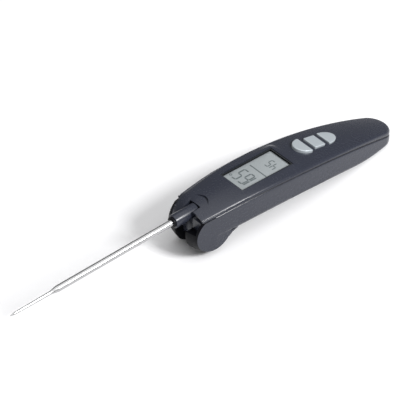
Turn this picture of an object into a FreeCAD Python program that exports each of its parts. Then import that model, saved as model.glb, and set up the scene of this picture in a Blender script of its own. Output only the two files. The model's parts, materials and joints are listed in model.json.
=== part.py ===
"""Folding digital probe thermometer, as an assembly of separate pieces.

Everything is laid out about the fold axis, which runs along Y through the round head:
-X points along the open probe, +X towards the tail and +Z up through the display.
Each piece's Placement then moves it so that the origin lies at the bottom centre of the
opened thermometer. Lengths are millimetres and angles are degrees.
"""
import FreeCAD, Part
import Sketcher
import math
import os

os.makedirs("parts", exist_ok=True)

Vector = FreeCAD.Vector
Rotation = FreeCAD.Rotation
Placement = FreeCAD.Placement
X_AXIS, Y_AXIS, Z_AXIS = Vector(1, 0, 0), Vector(0, 1, 0), Vector(0, 0, 1)

doc = FreeCAD.newDocument("FoldingThermometer")

# ---------------------------------------------------------------- driving dimensions
SIZES = [
    ("half_width", 15.1, "half the handle's greatest width"),
    ("widest_x", 49.0, "where the handle is widest"),
    ("side_radius", 518.0, "bow of the handle's sides, seen from above"),
    ("tail_x", 135.0, "end of the tail"),
    ("nose_x", -18.0, "where the outline is cut off in front of the head"),
    ("seam_top_x", 18.0, "highest point of the seam"),
    ("seam_top_z", 11.2, "height of the seam there"),
    ("seam_radius", 331.6, "bow of the seam, seen from the side"),
    ("crown_height", 3.4, "top of the cover above the seam"),
    ("crown_edge", 1.6, "upright edge of the cover at its widest"),
    ("cover_edge_fillet", 1.3, "rounding of the cover's edge"),
    ("wall", 1.6, "wall of both shells"),
    ("seam_gap", 0.6, "thickness of the gasket"),
    ("gasket_inset", 0.35, "gasket's outer edge, in from the shells"),
    ("gasket_width", 1.1, "width of the gasket"),
    ("neck_x", 20.0, "where the underside starts to drop"),
    ("neck_z", -4.7, "underside behind the head"),
    ("under_radius", 390.0, "bow of the underside"),
    ("under_turn_x", 100.0, "where the underside starts to level out"),
    ("under_flat_x", 124.0, "where it is level again"),
    ("under_fillet", 3.0, "rounding along the lower edges"),
    ("barrel_mid_radius", 14.0, "round head at the middle"),
    ("barrel_side_radius", 11.5, "round head at its sides"),
    ("barrel_half_length", 12.8, "half the round head's length"),
    ("slot_half_width", 4.05, "half the slot that the arm swings in"),
    ("face_x", -8.7, "flat front of the head, beside the slot"),
    ("face_z", 2.8, "foot of that flat front"),
    ("cheek_inner_y", 10.3, "inside of the thin outer cheeks"),
    ("cover_front_x", -8.4, "front edge of the cover"),
    ("notch_x", -3.2, "back of the cover's notch over the arm"),
    ("hub_radius", 9.0, "hub that turns on the axle"),
    ("hub_half_width", 3.45, "half the hub's width"),
    ("hub_gap", 0.4, "room round the hub"),
    ("axle_radius", 2.0, "fold axle"),
    ("axle_half_length", 11.0, "half the fold axle's length"),
    ("axle_clearance", 0.05, "running clearance of the hub on the axle"),
    ("probe_z", 10.0, "height of the open probe above the fold axis"),
    ("sleeve_radius", 3.7, "plastic sleeve round the probe's root"),
    ("sleeve_front_x", -18.8, "front of the sleeve"),
    ("collar_radius", 2.9, "collar at the sleeve's mouth"),
    ("collar_front_x", -19.9, "front of the collar"),
    ("tube_radius", 1.85, "probe tube"),
    ("tube_bore", 1.35, "inside of the probe tube"),
    ("tube_back_x", -4.5, "back end of the tube, in the arm"),
    ("tube_front_x", -95.0, "front end of the thick tube"),
    ("taper_length", 6.2, "step down from the tube to the tip"),
    ("tip_radius", 0.95, "reduced tip, at its back"),
    ("tip_front_radius", 0.7, "reduced tip, before the point"),
    ("tip_x", -126.2, "point of the probe"),
    ("point_length", 3.2, "sharpened point"),
    ("display_x", 39.7, "middle of the display"),
    ("display_z", 12.8, "outer face of the window there"),
    ("display_tilt", 2.3, "display leans down to the tail"),
    ("window_length", 36.4, "display window"),
    ("window_width", 17.6, "display window"),
    ("window_thick", 1.2, "display window"),
    ("panel_length", 38.0, "liquid crystal panel"),
    ("panel_width", 18.4, "liquid crystal panel"),
    ("panel_thick", 1.8, "liquid crystal panel"),
    ("panel_drop", 1.3, "top of the panel below the window's face"),
    ("holder_rim", 0.8, "rim of the panel's holder"),
    ("keys_x", 81.3, "middle of the keys"),
    ("keys_z", 8.5, "cover's surface there"),
    ("keys_tilt", 12.7, "keys lean down to the tail"),
    ("key_rise", 0.9, "keys stand proud of the cover"),
    ("key_travel", 0.6, "travel of a key"),
    ("key_gap", 0.25, "gap round a key"),
    ("front_key_flat", -6.9, "straight edge of the key by the display"),
    ("front_key_length", 7.9, "its length"),
    ("front_key_half_width", 6.3, "half its width"),
    ("middle_key_length", 7.7, "middle key"),
    ("middle_key_half_width", 4.9, "middle key"),
    ("rear_key_flat", 6.6, "straight edge of the key by the tail"),
    ("rear_key_length", 8.3, "its length"),
    ("rear_key_half_width", 5.3, "half its width"),
    ("board_x", 61.5, "middle of the circuit board"),
    ("board_z", 3.0, "top of the circuit board there"),
    ("board_tilt", 5.5, "board leans down to the tail"),
    ("board_length", 75.0, "circuit board"),
    ("board_width", 20.6, "circuit board"),
    ("board_thick", 1.0, "circuit board"),
    ("door_x", 38.0, "middle of the battery door"),
    ("door_tilt", 2.4, "door leans with the underside"),
    ("door_radius", 11.3, "battery door"),
    ("door_thick", 1.2, "flange of the door"),
    ("plug_radius", 9.9, "plug of the door"),
    ("door_gap", 0.2, "gap round the door"),
    ("cell_radius", 10.0, "coin cell, 2032 size"),
    ("cell_thick", 3.2, "coin cell, 2032 size"),
    ("groove_half_width", 2.4, "groove for the folded probe"),
    ("groove_start_x", 60.0, "front of the groove"),
    ("groove_step_x", 99.0, "where the groove narrows for the tip"),
    ("groove_end_x", 129.0, "back of the groove"),
    ("relief_front_x", 51.3, "finger relief in the side"),
    ("relief_front_z", -2.0, "its upper edge at the front"),
    ("relief_back_x", 91.2, "finger relief in the side"),
    ("relief_back_z", -6.8, "its upper edge at the back"),
    ("relief_depth", 0.6, "depth of the finger relief"),
    ("screw_radius", 1.1, "thread of a housing screw"),
    ("screw_head_radius", 2.1, "head of a housing screw"),
    ("front_screw_x", 15.5, "front pair of screws"),
    ("front_screw_y", 9.2, "front pair of screws"),
    ("rear_screw_x", 112.0, "rear pair of screws"),
    ("rear_screw_y", 6.6, "rear pair of screws"),
]

sheet = doc.addObject("Spreadsheet::Sheet", "Sizes")
for row, (alias, value, note) in enumerate(SIZES, 1):
    sheet.set(f"A{row}", alias)
    sheet.set(f"B{row}", str(value))
    sheet.set(f"C{row}", note)
    sheet.setAlias(f"B{row}", alias)
doc.recompute()


def size(alias):
    """The value of a named cell."""
    return float(sheet.get(alias))


def seam_z(x):
    """Height of the seam between the shells at x."""
    radius = size("seam_radius")
    return size("seam_top_z") - radius + math.sqrt(radius**2 - (x - size("seam_top_x")) ** 2)


def under_z(x):
    """Height of the underside at x, behind the neck."""
    radius, turn, flat = size("under_radius"), size("under_turn_x"), size("under_flat_x")
    run = min(max(x, size("neck_x")), turn) - size("neck_x")
    drop = radius - math.sqrt(radius**2 - run**2)
    if x > turn:
        slope = (turn - size("neck_x")) / radius
        along = min(x, flat) - turn
        drop += slope * along - slope * along**2 / (2 * (flat - turn))
    return size("neck_z") - drop


# ---------------------------------------------------------------- frames of the assembly
LOWEST_Z = under_z(size("tail_x"))
ORIGIN_SHIFT = Placement(Vector(-(size("tip_x") + size("tail_x")) / 2, 0, -LOWEST_Z), Rotation())
FOLD_FRAME = Placement()
DISPLAY_FRAME = Placement(
    Vector(size("display_x"), 0, size("display_z")), Rotation(Y_AXIS, size("display_tilt"))
)
KEYS_FRAME = Placement(Vector(size("keys_x"), 0, size("keys_z")), Rotation(Y_AXIS, size("keys_tilt")))
BOARD_FRAME = Placement(
    Vector(size("board_x"), 0, size("board_z")), Rotation(Y_AXIS, size("board_tilt"))
)
DOOR_FRAME = Placement(
    Vector(size("door_x"), 0, under_z(size("door_x"))), Rotation(Y_AXIS, size("door_tilt"))
)

sub_parts = []


def sub_part(obj, label, frame=FOLD_FRAME):
    """Names a finished piece and places it from its own frame into the assembly."""
    obj.Label = label
    obj.Placement = ORIGIN_SHIFT.multiply(frame).multiply(obj.Placement)
    sub_parts.append(obj)
    return obj


# ---------------------------------------------------------------- helpers
def bind(obj, **cells):
    """Binds properties of an object to expressions on the sheet."""
    for prop, expression in cells.items():
        obj.setExpression(prop, expression)
    return obj


def solid_box(name, low, high, frame=None):
    """A box between two corners."""
    box = doc.addObject("Part::Box", name)
    box.Length, box.Width, box.Height = (high[i] - low[i] for i in range(3))
    at = Placement(Vector(*low), Rotation())
    box.Placement = frame.multiply(at) if frame else at
    return box


def cylinder(name, radius, length, base, axis, frame=None):
    """A cylinder from its base along an axis; radius is an expression on the sheet."""
    rod = doc.addObject("Part::Cylinder", name)
    bind(rod, Radius=radius)
    rod.Height = length
    at = Placement(Vector(*base), Rotation(Z_AXIS, axis))
    rod.Placement = frame.multiply(at) if frame else at
    return rod


def fuse(name, *objs):
    joined = doc.addObject("Part::MultiFuse", name)
    joined.Shapes = list(objs)
    return joined


def cut(name, base, *tools):
    tool = tools[0] if len(tools) == 1 else fuse(name + "_tools", *tools)
    result = doc.addObject("Part::Cut", name)
    result.Base, result.Tool = base, tool
    return result


def common(name, *objs):
    shared = doc.addObject("Part::MultiCommon", name)
    shared.Shapes = list(objs)
    return shared


def profile(name, edges, placement=None):
    """A free sketch made of the given curves."""
    sketch = doc.addObject("Sketcher::SketchObject", name)
    for edge in edges:
        sketch.addGeometry(edge, False)
    if placement:
        sketch.Placement = placement
    return sketch


def extrusion(name, sketch, direction, low, high):
    """The solid between two heights along a direction."""
    solid = doc.addObject("Part::Extrusion", name)
    solid.Base = sketch
    solid.DirMode = "Custom"
    solid.Dir = direction
    solid.LengthFwd, solid.LengthRev = high, -low
    solid.Solid = True
    return solid


def chain(points):
    """Straight lines through points, closed."""
    ends = points[1:] + points[:1]
    return [Part.LineSegment(Vector(*a, 0), Vector(*b, 0)) for a, b in zip(points, ends)]


def arc(a, b, c):
    """The arc from a through b to c, in a sketch's plane."""
    return Part.Arc(Vector(*a, 0), Vector(*b, 0), Vector(*c, 0))


def line(a, b):
    return Part.LineSegment(Vector(*a, 0), Vector(*b, 0))


SIDE_VIEW = Placement(Vector(), Rotation(X_AXIS, 90))  # sketch x, y become X, Z


def new_body(name):
    body = doc.addObject("PartDesign::Body", name)
    return body


def origin_plane(body, role):
    return next(f for f in body.Origin.OriginFeatures if f.Role == role)


def body_sketch(body, name, role="XY_Plane", offset=0.0):
    sketch = body.newObject("Sketcher::SketchObject", name)
    sketch.AttachmentSupport = [(origin_plane(body, role), "")]
    sketch.MapMode = "FlatFace"
    sketch.AttachmentOffset = Placement(Vector(0, 0, offset), Rotation())
    return sketch


def centred_rectangle(sketch, length, width, x=0.0, y=0.0):
    """A rectangle with its sides bound to expressions on the sheet."""
    half_l, half_w = 1.0, 1.0
    corners = [(x + i * half_l, y + j * half_w) for i, j in ((-1, -1), (1, -1), (1, 1), (-1, 1))]
    first = sketch.GeometryCount
    for geo in chain(corners):
        sketch.addGeometry(geo, False)
    for i in range(4):
        sketch.addConstraint(Sketcher.Constraint("Coincident", first + i, 2, first + (i + 1) % 4, 1))
    for i, kind in enumerate(["Horizontal", "Vertical", "Horizontal", "Vertical"]):
        sketch.addConstraint(Sketcher.Constraint(kind, first + i))
    span_x = sketch.addConstraint(Sketcher.Constraint("DistanceX", first, 1, first, 2, 2.0))
    span_y = sketch.addConstraint(Sketcher.Constraint("DistanceY", first + 1, 1, first + 1, 2, 2.0))
    left = sketch.addConstraint(Sketcher.Constraint("DistanceX", first, 1, -1, 1, half_l - x))
    low = sketch.addConstraint(Sketcher.Constraint("DistanceY", first, 1, -1, 1, half_w - y))
    sketch.setExpression(f"Constraints[{span_x}]", length)
    sketch.setExpression(f"Constraints[{span_y}]", width)
    sketch.setExpression(f"Constraints[{left}]", f"({length}) / 2 - ({x})")
    sketch.setExpression(f"Constraints[{low}]", f"({width}) / 2 - ({y})")


def pad(body, sketch, name, length, down=False):
    feature = body.newObject("PartDesign::Pad", name)
    feature.Profile = sketch
    feature.setExpression("Length", length)
    feature.Reversed = down
    body.Tip = feature
    return feature


def pocket(body, sketch, name, length, down=True):
    feature = body.newObject("PartDesign::Pocket", name)
    feature.Profile = sketch
    feature.setExpression("Length", length)
    feature.Reversed = not down
    body.Tip = feature
    return feature


def plate(name, length, width, thick, top=0.0):
    """A rectangular plate whose upper face is at a height in its frame."""
    body = new_body(name)
    sketch = body_sketch(body, name + "_outline", offset=top)
    centred_rectangle(sketch, length, width)
    pad(body, sketch, name + "_pad", thick, down=True)
    return body


def turned(name, points):
    """A turned piece: a profile of (x, radius) points, spun about the local X axis."""
    body = new_body(name)
    sketch = body_sketch(body, name + "_profile", role="XY_Plane")
    for geo in chain(points):
        sketch.addGeometry(geo, False)
    spin = body.newObject("PartDesign::Revolution", name + "_turn")
    spin.Profile = sketch
    spin.ReferenceAxis = (sketch, ["H_Axis"])
    spin.Angle = 360
    body.Tip = spin
    return body


# ---------------------------------------------------------------- outer surfaces
def outline_edges(inset, nose_x):
    """The handle from above: two bowed sides, a round tail and a square front."""
    radius = size("side_radius") - inset
    centre_x = size("widest_x")
    centre_y = size("side_radius") - size("half_width")
    span = size("tail_x") - inset - centre_x
    tail = (radius**2 - centre_y**2 - span**2) / (2 * (radius - span))
    tail_x = size("tail_x") - inset - tail
    reach = math.hypot(tail_x - centre_x, centre_y)
    join = (centre_x + radius * (tail_x - centre_x) / reach, radius * centre_y / reach - centre_y)

    def side_y(x):
        return math.sqrt(radius**2 - (x - centre_x) ** 2) - centre_y

    near, far = (nose_x, -side_y(nose_x)), (nose_x, side_y(nose_x))
    return [
        line(far, near),
        arc(near, (centre_x, centre_y - radius), (join[0], -join[1])),
        arc((join[0], -join[1]), (tail_x + tail, 0), join),
        arc(join, (centre_x, radius - centre_y), far),
    ]


def handle_prism(name, inset, nose_x, low, high):
    """The handle's outline from above, as an upright prism."""
    return extrusion(name, profile(name + "_plan", outline_edges(inset, nose_x)), Z_AXIS, low, high)


def seam_slab(name, low, high, front=-18.0, back=140.0):
    """The bowed slab between two heights above the seam, as wide as the handle."""
    mid = (front + back) / 2
    top = [(x, seam_z(x) + high) for x in (front, mid, back)]
    bottom = [(x, seam_z(x) + low) for x in (back, mid, front)]
    edges = [arc(*top), line(top[2], bottom[0]), arc(*bottom), line(bottom[2], top[0])]
    return extrusion(name, profile(name + "_side", edges, SIDE_VIEW), Y_AXIS, -20, 20)


def below_seam(name, gap, raise_floor, front_x, back_x):
    """Everything under the seam and over the underside, between two places along X."""
    neck, turn, flat = (size(a) for a in ("neck_x", "under_turn_x", "under_flat_x"))
    mid = (front_x + back_x) / 2

    def floor(x):
        return (x, under_z(x) + raise_floor)

    edges = [
        arc(*[(x, seam_z(x) - gap) for x in (front_x, mid, back_x)]),
        line((back_x, seam_z(back_x) - gap), floor(back_x)),
    ]
    if back_x > flat:
        edges.append(line(floor(back_x), floor(flat)))
        edges.append(arc(floor(flat), floor((flat + turn) / 2), floor(turn)))
    else:
        edges.append(arc(floor(back_x), floor((back_x + turn) / 2), floor(turn)))
    edges.append(arc(floor(turn), floor((turn + neck) / 2), floor(neck)))
    if front_x < neck:
        edges.append(line(floor(neck), floor(front_x)))
    edges.append(line(floor(front_x), (front_x, seam_z(front_x) - gap)))
    return extrusion(name, profile(name + "_side", edges, SIDE_VIEW), Y_AXIS, -20, 20)


def barrel(name):
    """The round head: a crowned drum about the fold axis."""
    half, mid, side = (size(a) for a in ("barrel_half_length", "barrel_mid_radius", "barrel_side_radius"))
    edges = [line((0, -half), (0, half)), line((0, half), (side, half))]
    edges += [arc((side, half), (mid, 0), (side, -half)), line((side, -half), (0, -half))]
    drum = doc.addObject("Part::Revolution", name)
    drum.Source = profile(name + "_profile", edges)
    drum.Axis, drum.Base, drum.Angle, drum.Solid = Y_AXIS, Vector(), 360, True
    return drum


def crown(name, shrink):
    """A disc whose rim is the cover's crowned top; it is spun about the seam's centre line."""
    radius = size("seam_radius") + size("crown_height") - shrink
    half = size("half_width") + 2
    drop = size("crown_height") - size("crown_edge")
    bow = (size("half_width") ** 2 + drop**2) / (2 * drop)
    edge = radius - bow + math.sqrt(bow**2 - half**2)
    floor = size("seam_radius") - 30
    base = (size("seam_top_x"), size("seam_top_z") - size("seam_radius"))
    edges = [arc((edge, half), (radius, 0), (edge, -half)), line((edge, -half), (floor, -half))]
    edges += [line((floor, -half), (floor, half)), line((floor, half), (edge, half))]
    disc = doc.addObject("Part::Revolution", name)
    disc.Source = profile(name + "_profile", edges, Placement(Vector(base[0], 0, base[1]), Rotation(Y_AXIS, -90 - 12)))
    disc.Axis, disc.Base, disc.Angle, disc.Solid = Y_AXIS, Vector(base[0], 0, base[1]), 36, True
    return disc


doc.recompute()


# ---------------------------------------------------------------- lower housing
def fillet_where(name, base, radius, wanted):
    """Rounds the edges of an object whose middle satisfies a test."""
    doc.recompute()
    edges = []
    for number, edge in enumerate(base.Shape.Edges, 1):
        middle = edge.valueAt((edge.FirstParameter + edge.LastParameter) / 2)
        if wanted(middle, edge):
            edges.append((number, radius, radius))
    rounded = doc.addObject("Part::Fillet", name)
    rounded.Base = base
    rounded.Edges = edges
    return rounded


def lower_housing():
    gap = size("seam_gap")
    wall = size("wall")
    slot, cheek = size("slot_half_width"), size("cheek_inner_y")
    groove = size("groove_half_width")
    tail_x = size("tail_x")
    block = common(
        "handle_block",
        handle_prism("handle_outside", 0, 0.0, -30, 30),
        below_seam("handle_under_seam", gap, 0, 0.0, tail_x + 1),
    )

    def is_lower_edge(point, edge):
        return point.x > 1 and abs(point.z - under_z(point.x)) < 0.2 and edge.Length > 3 and abs(point.y) > 3

    block = fillet_where("handle_block_rounded", block, size("under_fillet"), is_lower_edge)
    head = common(
        "head_block",
        barrel("head_drum"),
        handle_prism("head_outside", 0, size("nose_x"), -30, 30),
        seam_slab("head_under_seam", -40, -gap),
    )
    outside = fuse("housing_outside", block, head)
    cavity = common(
        "housing_cavity",
        handle_prism("cavity_outline", wall, 15.0, -30, 30),
        below_seam("cavity_side", -5.0, wall, 15.0, tail_x - 3.5),
    )
    hollow = cut("housing_hollow", outside, cavity)
    posts = [
        cylinder(f"post_{i}", "Sizes.screw_head_radius + 1.4", 40, (x, y, -20), Z_AXIS)
        for i, (x, y) in enumerate(screw_places())
    ]
    ceiling = size("tube_radius") - size("probe_z") + 0.5
    tip_ceiling = ceiling - 0.9
    rib = common(
        "groove_rib",
        fuse(
            "groove_rib_steps",
            solid_box("groove_rib_front", (size("groove_start_x"), -3.8, -20), (size("groove_step_x") + 2, 3.8, ceiling + 1.2)),
            solid_box("groove_rib_back", (size("groove_step_x"), -3.8, -20), (tail_x - 1, 3.8, tip_ceiling + 1.0)),
        ),
        handle_prism("rib_outline", 0.5, 8.0, -30, 30),
        below_seam("rib_side", size("seam_gap"), 0.5, 8.0, tail_x - 1),
    )
    ring = cylinder(
        "door_ring", "Sizes.door_radius + 1.4", 3.0, (0, 0, 0.2), Z_AXIS, DOOR_FRAME
    )
    seats = common(
        "housing_seats",
        fuse("housing_inner_solids", *posts, ring),
        handle_prism("seats_outline", 0.5, 8.0, -30, 30),
        below_seam("seats_side", 3.0, 0.5, 8.0, tail_x - 1),
    )
    solid = fuse("housing_solid", hollow, seats, rib)
    tools = [
        solid_box("slot_front", (-20, -slot, -20), (0, slot, 30)),
        solid_box("slot_under", (-1, -slot, -20), (30, slot, size("sleeve_radius") - size("probe_z") + 0.4)),
        cylinder("hub_room", "Sizes.hub_radius + Sizes.hub_gap", 2 * slot, (0, -slot, 0), Y_AXIS),
        solid_box("front_recess", (-20, -cheek, size("face_z")), (size("face_x"), cheek, 30)),
        cylinder("axle_bore", "Sizes.axle_radius", 2 * size("axle_half_length"), (0, -size("axle_half_length"), 0), Y_AXIS),
        solid_box("spring_pocket", (8.0, -3.2, -2.4), (11.2, 3.2, 8.4)),
        solid_box("tube_groove", (size("groove_start_x") - 5, -groove, -20), (size("groove_step_x"), groove, ceiling)),
        solid_box("tip_groove", (size("groove_step_x") - 1, -groove, -20), (size("groove_end_x"), groove, tip_ceiling)),
        cylinder("door_seat", "Sizes.door_radius + Sizes.door_gap", 3, (0, 0, -3 + size("door_thick") + 0.05), Z_AXIS, DOOR_FRAME),
        cylinder("door_mouth", "Sizes.cell_radius + 0.7", 8, (0, 0, -1), Z_AXIS, DOOR_FRAME),
    ]
    for i, (x, y) in enumerate(screw_places()):
        tools.append(cylinder(f"screw_hole_{i}", "Sizes.screw_radius + 0.15", 60, (x, y, -30), Z_AXIS))
        tools.append(cylinder(f"boss_room_{i}", "Sizes.screw_radius + 1.5", 20, (x, y, seam_z(x) - 2.8), Z_AXIS))
        tools.append(cylinder(f"screw_sink_{i}", "Sizes.screw_head_radius + 0.2", 30, (x, y, screw_seat(x) - 30), Z_AXIS))
    for side in (-1, 1):
        tools.append(finger_relief(side))
        ring = doc.addObject("Part::Torus", f"seal_room_{side + 1}")
        ring.Radius1, ring.Radius2 = 5.3, 0.62
        ring.Placement = Placement(Vector(0, side * (slot + 0.1), 0), Rotation(X_AXIS, 90))
        tools.append(ring)
    return sub_part(cut("lower_housing", solid, *tools), "lower_housing")


def screw_places():
    """X and Y of the four housing screws."""
    return [
        (size(end + "_screw_x"), side * size(end + "_screw_y")) for end in ("front", "rear") for side in (-1, 1)
    ]


def screw_seat(x):
    """Height of the face under a screw's head."""
    return under_z(x) + 2.6


def finger_relief(side):
    """The scooped step along the side's lower edge, where a finger reaches the folded probe."""
    run = size("relief_back_x") - size("relief_front_x")
    fall = size("relief_front_z") - size("relief_back_z")
    half = side_half_width((size("relief_front_x") + size("relief_back_x")) / 2)
    length = math.hypot(run, fall)
    scoop = doc.addObject("Part::Box", f"finger_relief_{side + 1}")
    scoop.Length, scoop.Width, scoop.Height = length, 8, 12
    y = half - size("relief_depth") if side > 0 else -half + size("relief_depth") - 8
    tilt = Rotation(Y_AXIS, math.degrees(math.atan2(fall, run)))
    down = tilt.multVec(Vector(0, 0, -12))
    scoop.Placement = Placement(Vector(size("relief_front_x"), y, size("relief_front_z")) + down, tilt)
    return scoop


def side_half_width(x):
    """Half the handle's width at x."""
    radius = size("side_radius")
    return size("half_width") - radius + math.sqrt(radius**2 - (x - size("widest_x")) ** 2)


# ---------------------------------------------------------------- top cover
def key_window(name, key, low, high, grow):
    """The opening for a key, or a room round it."""
    tool = extrusion(name, key_profile(name + "_plan", key, grow), Z_AXIS, low, high)
    tool.Placement = KEYS_FRAME
    return tool


def key_profile(name, key, grow):
    """A key from above: a half ellipse at each end of the row and a rectangle between them."""
    if key == "middle":
        half_l = size("middle_key_length") / 2 + grow
        half_w = size("middle_key_half_width") + grow
        return profile(name, chain([(-half_l, -half_w), (half_l, -half_w), (half_l, half_w), (-half_l, half_w)]))
    away = -1 if key == "front" else 1
    flat = size(key + "_key_flat") - away * grow
    long, half_w = size(key + "_key_length") + 2 * grow, size(key + "_key_half_width") + grow
    tip = (flat + away * long, 0)
    shoulder = (flat + away * 0.72 * long, 0.69 * half_w)
    corner = (flat, half_w)
    other = [(x, -y) for x, y in (shoulder, corner)]
    bow = Part.BSplineCurve()
    points = [corner, (flat + away * 0.4 * long, 0.92 * half_w), shoulder, tip]
    points += [other[0], (flat + away * 0.4 * long, -0.92 * half_w), other[1]]
    bow.interpolate([Vector(x, y, 0) for x, y in points])
    return profile(name, [bow, line(other[1], corner)])


def top_cover():
    wall = size("wall")
    shell = common(
        "cover_outside",
        handle_prism("cover_outline", 0, size("cover_front_x"), -40, 40),
        seam_slab("cover_above_seam", 0, 12),
        crown("cover_crown", 0),
    )

    def is_rim(point, edge):
        rise = point.z - seam_z(point.x)
        return rise > 0.5 and abs(point.y) > 3 and point.x > size("cover_front_x") + 1 and edge.Length > 5

    shell = fillet_where("cover_rounded", shell, size("cover_edge_fillet"), is_rim)
    inside = common(
        "cover_inside",
        handle_prism("cover_inside_outline", wall, 10.5, -40, 40),
        seam_slab("cover_inside_slab", -1, 12),
        crown("cover_inside_crown", 1.5),
    )
    bosses = common(
        "cover_bosses",
        fuse("cover_posts", *[cylinder(f"boss_{i}", "Sizes.screw_radius + 1.3", 60, (x, y, -30), Z_AXIS) for i, (x, y) in enumerate(screw_places())]),
        seam_slab("cover_boss_slab", -2.3, 12),
        crown("cover_boss_crown", 1.0),
    )
    hollow = cut("cover_hollow", shell, inside)
    solid = fuse("cover_solid", hollow, bosses)
    slot = size("slot_half_width")
    half_l, half_w = size("window_length") / 2, size("window_width") / 2
    panel_l, panel_w = size("panel_length") / 2 + size("holder_rim") + 0.1, size("panel_width") / 2 + size("holder_rim") + 0.1
    tools = [
        solid_box("arm_notch", (-20, -slot, -5), (size("notch_x"), slot, 30)),
        solid_box("cover_hub_room", (-5, -slot, -5), (9.4, slot, 12.4)),
        solid_box("display_opening", (-half_l, -half_w, -4), (half_l, half_w, 4), DISPLAY_FRAME),
        solid_box("panel_room", (-panel_l, -panel_w, -6), (panel_l, panel_w, -size("window_thick")), DISPLAY_FRAME),
    ]
    for key in ("front", "middle", "rear"):
        tools.append(key_window(f"{key}_key_opening", key, -4, 6, size("key_gap")))
        tools.append(key_window(f"{key}_key_room", key, -6, -1.3, 1.0))
    for i, (x, y) in enumerate(screw_places()):
        tools.append(cylinder(f"boss_bore_{i}", "Sizes.screw_radius", 60, (x, y, screw_tip(x) - 60 + 0.3), Z_AXIS))
    tools.append(crescent_mark())
    return sub_part(cut("top_cover", solid, *tools), "top_cover")


def screw_tip(x):
    """Height of a screw's point."""
    return seam_z(x) + 1.6


def crescent_mark():
    """A shallow crescent groove in the cover, in front of the display."""
    middle, chord, bow, width = 1.5, 10.0, 1.9, 0.9
    half = chord / 2
    edges = [
        arc((middle, -half), (middle + bow + width / 2, 0), (middle, half)),
        arc((middle, half), (middle + bow - width / 2, 0), (middle, -half)),
    ]
    tool = extrusion("crescent", profile("crescent_plan", edges), Z_AXIS, seam_z(3) + size("crown_height") - 0.35, 30)
    return tool


# ---------------------------------------------------------------- gasket and fasteners
def housing_gasket():
    inset, width = size("gasket_inset"), size("gasket_width")
    bar = 11.2
    ring = cut(
        "gasket_ring",
        handle_prism("gasket_outside", inset, -7.5, -40, 40),
        handle_prism("gasket_inside", inset + width, bar + width, -50, 50),
        common(
            "gasket_front_inside",
            handle_prism("gasket_front_outline", inset + width, -30, -50, 50),
            solid_box("gasket_front_room", (-40, -20, -60), (bar, 20, 60)),
        ),
    )
    slab = seam_slab("gasket_slab", -size("seam_gap"), 0.0)
    return sub_part(common("housing_gasket", ring, slab), "housing_gasket")


def housing_screws():
    screws = []
    for i, (x, y) in enumerate(screw_places()):
        seat, tip = screw_seat(x), screw_tip(x)
        shank = cylinder(f"screw_shank_{i}", "Sizes.screw_radius", tip - seat + 0.2, (x, y, seat - 0.2), Z_AXIS)
        head = cylinder(f"screw_head_{i}", "Sizes.screw_head_radius", 1.4, (x, y, seat - 1.4), Z_AXIS)
        slots = [
            solid_box(f"screw_cross_{i}_{k}", (x - dx, y - dy, seat - 1.5), (x + dx, y + dy, seat - 0.7))
            for k, (dx, dy) in enumerate([(1.3, 0.3), (0.3, 1.3)])
        ]
        screws.append(cut(f"screw_{i}", fuse(f"screw_body_{i}", shank, head), *slots))
    group = doc.addObject("Part::Compound", "screw_group")
    group.Links = screws
    return sub_part(group, "housing_screws")


# ---------------------------------------------------------------- display
def display_pieces():
    drop, thick = size("panel_drop"), size("panel_thick")
    rim = size("holder_rim")
    window = plate("window", "Sizes.window_length - 0.2", "Sizes.window_width - 0.2", "Sizes.window_thick", 0.0)
    panel = plate("panel", "Sizes.panel_length", "Sizes.panel_width", "Sizes.panel_thick", -drop)
    holder = plate("holder", "Sizes.panel_length + 2 * Sizes.holder_rim", "Sizes.panel_width + 2 * Sizes.holder_rim", "Sizes.panel_thick + 0.8", -drop)
    recess = body_sketch(holder, "holder_recess", offset=-drop)
    centred_rectangle(recess, "Sizes.panel_length + 0.1", "Sizes.panel_width + 0.1")
    pocket(holder, recess, "holder_pocket", "Sizes.panel_thick + 0.05")
    through = body_sketch(holder, "holder_through", offset=-drop)
    centred_rectangle(through, "Sizes.panel_length - 2", "Sizes.panel_width - 0.6")
    pocket(holder, through, "holder_opening", "Sizes.panel_thick + 3")
    sub_part(window, "display_window", DISPLAY_FRAME)
    sub_part(panel, "lcd_panel", DISPLAY_FRAME)
    sub_part(holder, "lcd_holder", DISPLAY_FRAME)
    top = -(drop + thick)
    strips = []
    for i, side in enumerate((-1, 1)):
        y = side * (size("panel_width") / 2 - 1.6)
        post = solid_box(f"strip_block_{i}", (-16, y - 0.8, top - 8), (16, y + 0.8, top - 0.02), DISPLAY_FRAME)
        room = solid_box(f"strip_room_{i}", (-60, -15, 0.02), (60, 15, 20), BOARD_FRAME)
        strips.append(common(f"connector_strip_{i}", post, room))
    group = doc.addObject("Part::Compound", "strip_group")
    group.Links = strips
    sub_part(group, "lcd_connector_strips")


# ---------------------------------------------------------------- keys and board
KEY_CENTRES = {"front": -9.8, "middle": 0.0, "rear": 9.8}


def key_caps():
    for key in ("front", "middle", "rear"):
        cap = extrusion(f"{key}_cap", key_profile(f"{key}_cap_plan", key, 0.0), Z_AXIS, -2.2, size("key_rise"))
        flange = extrusion(f"{key}_flange", key_profile(f"{key}_flange_plan", key, 0.6), Z_AXIS, -2.2, -1.6)
        sub_part(fuse(f"{key}_key", cap, flange), f"{key}_button", KEYS_FRAME)


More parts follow.
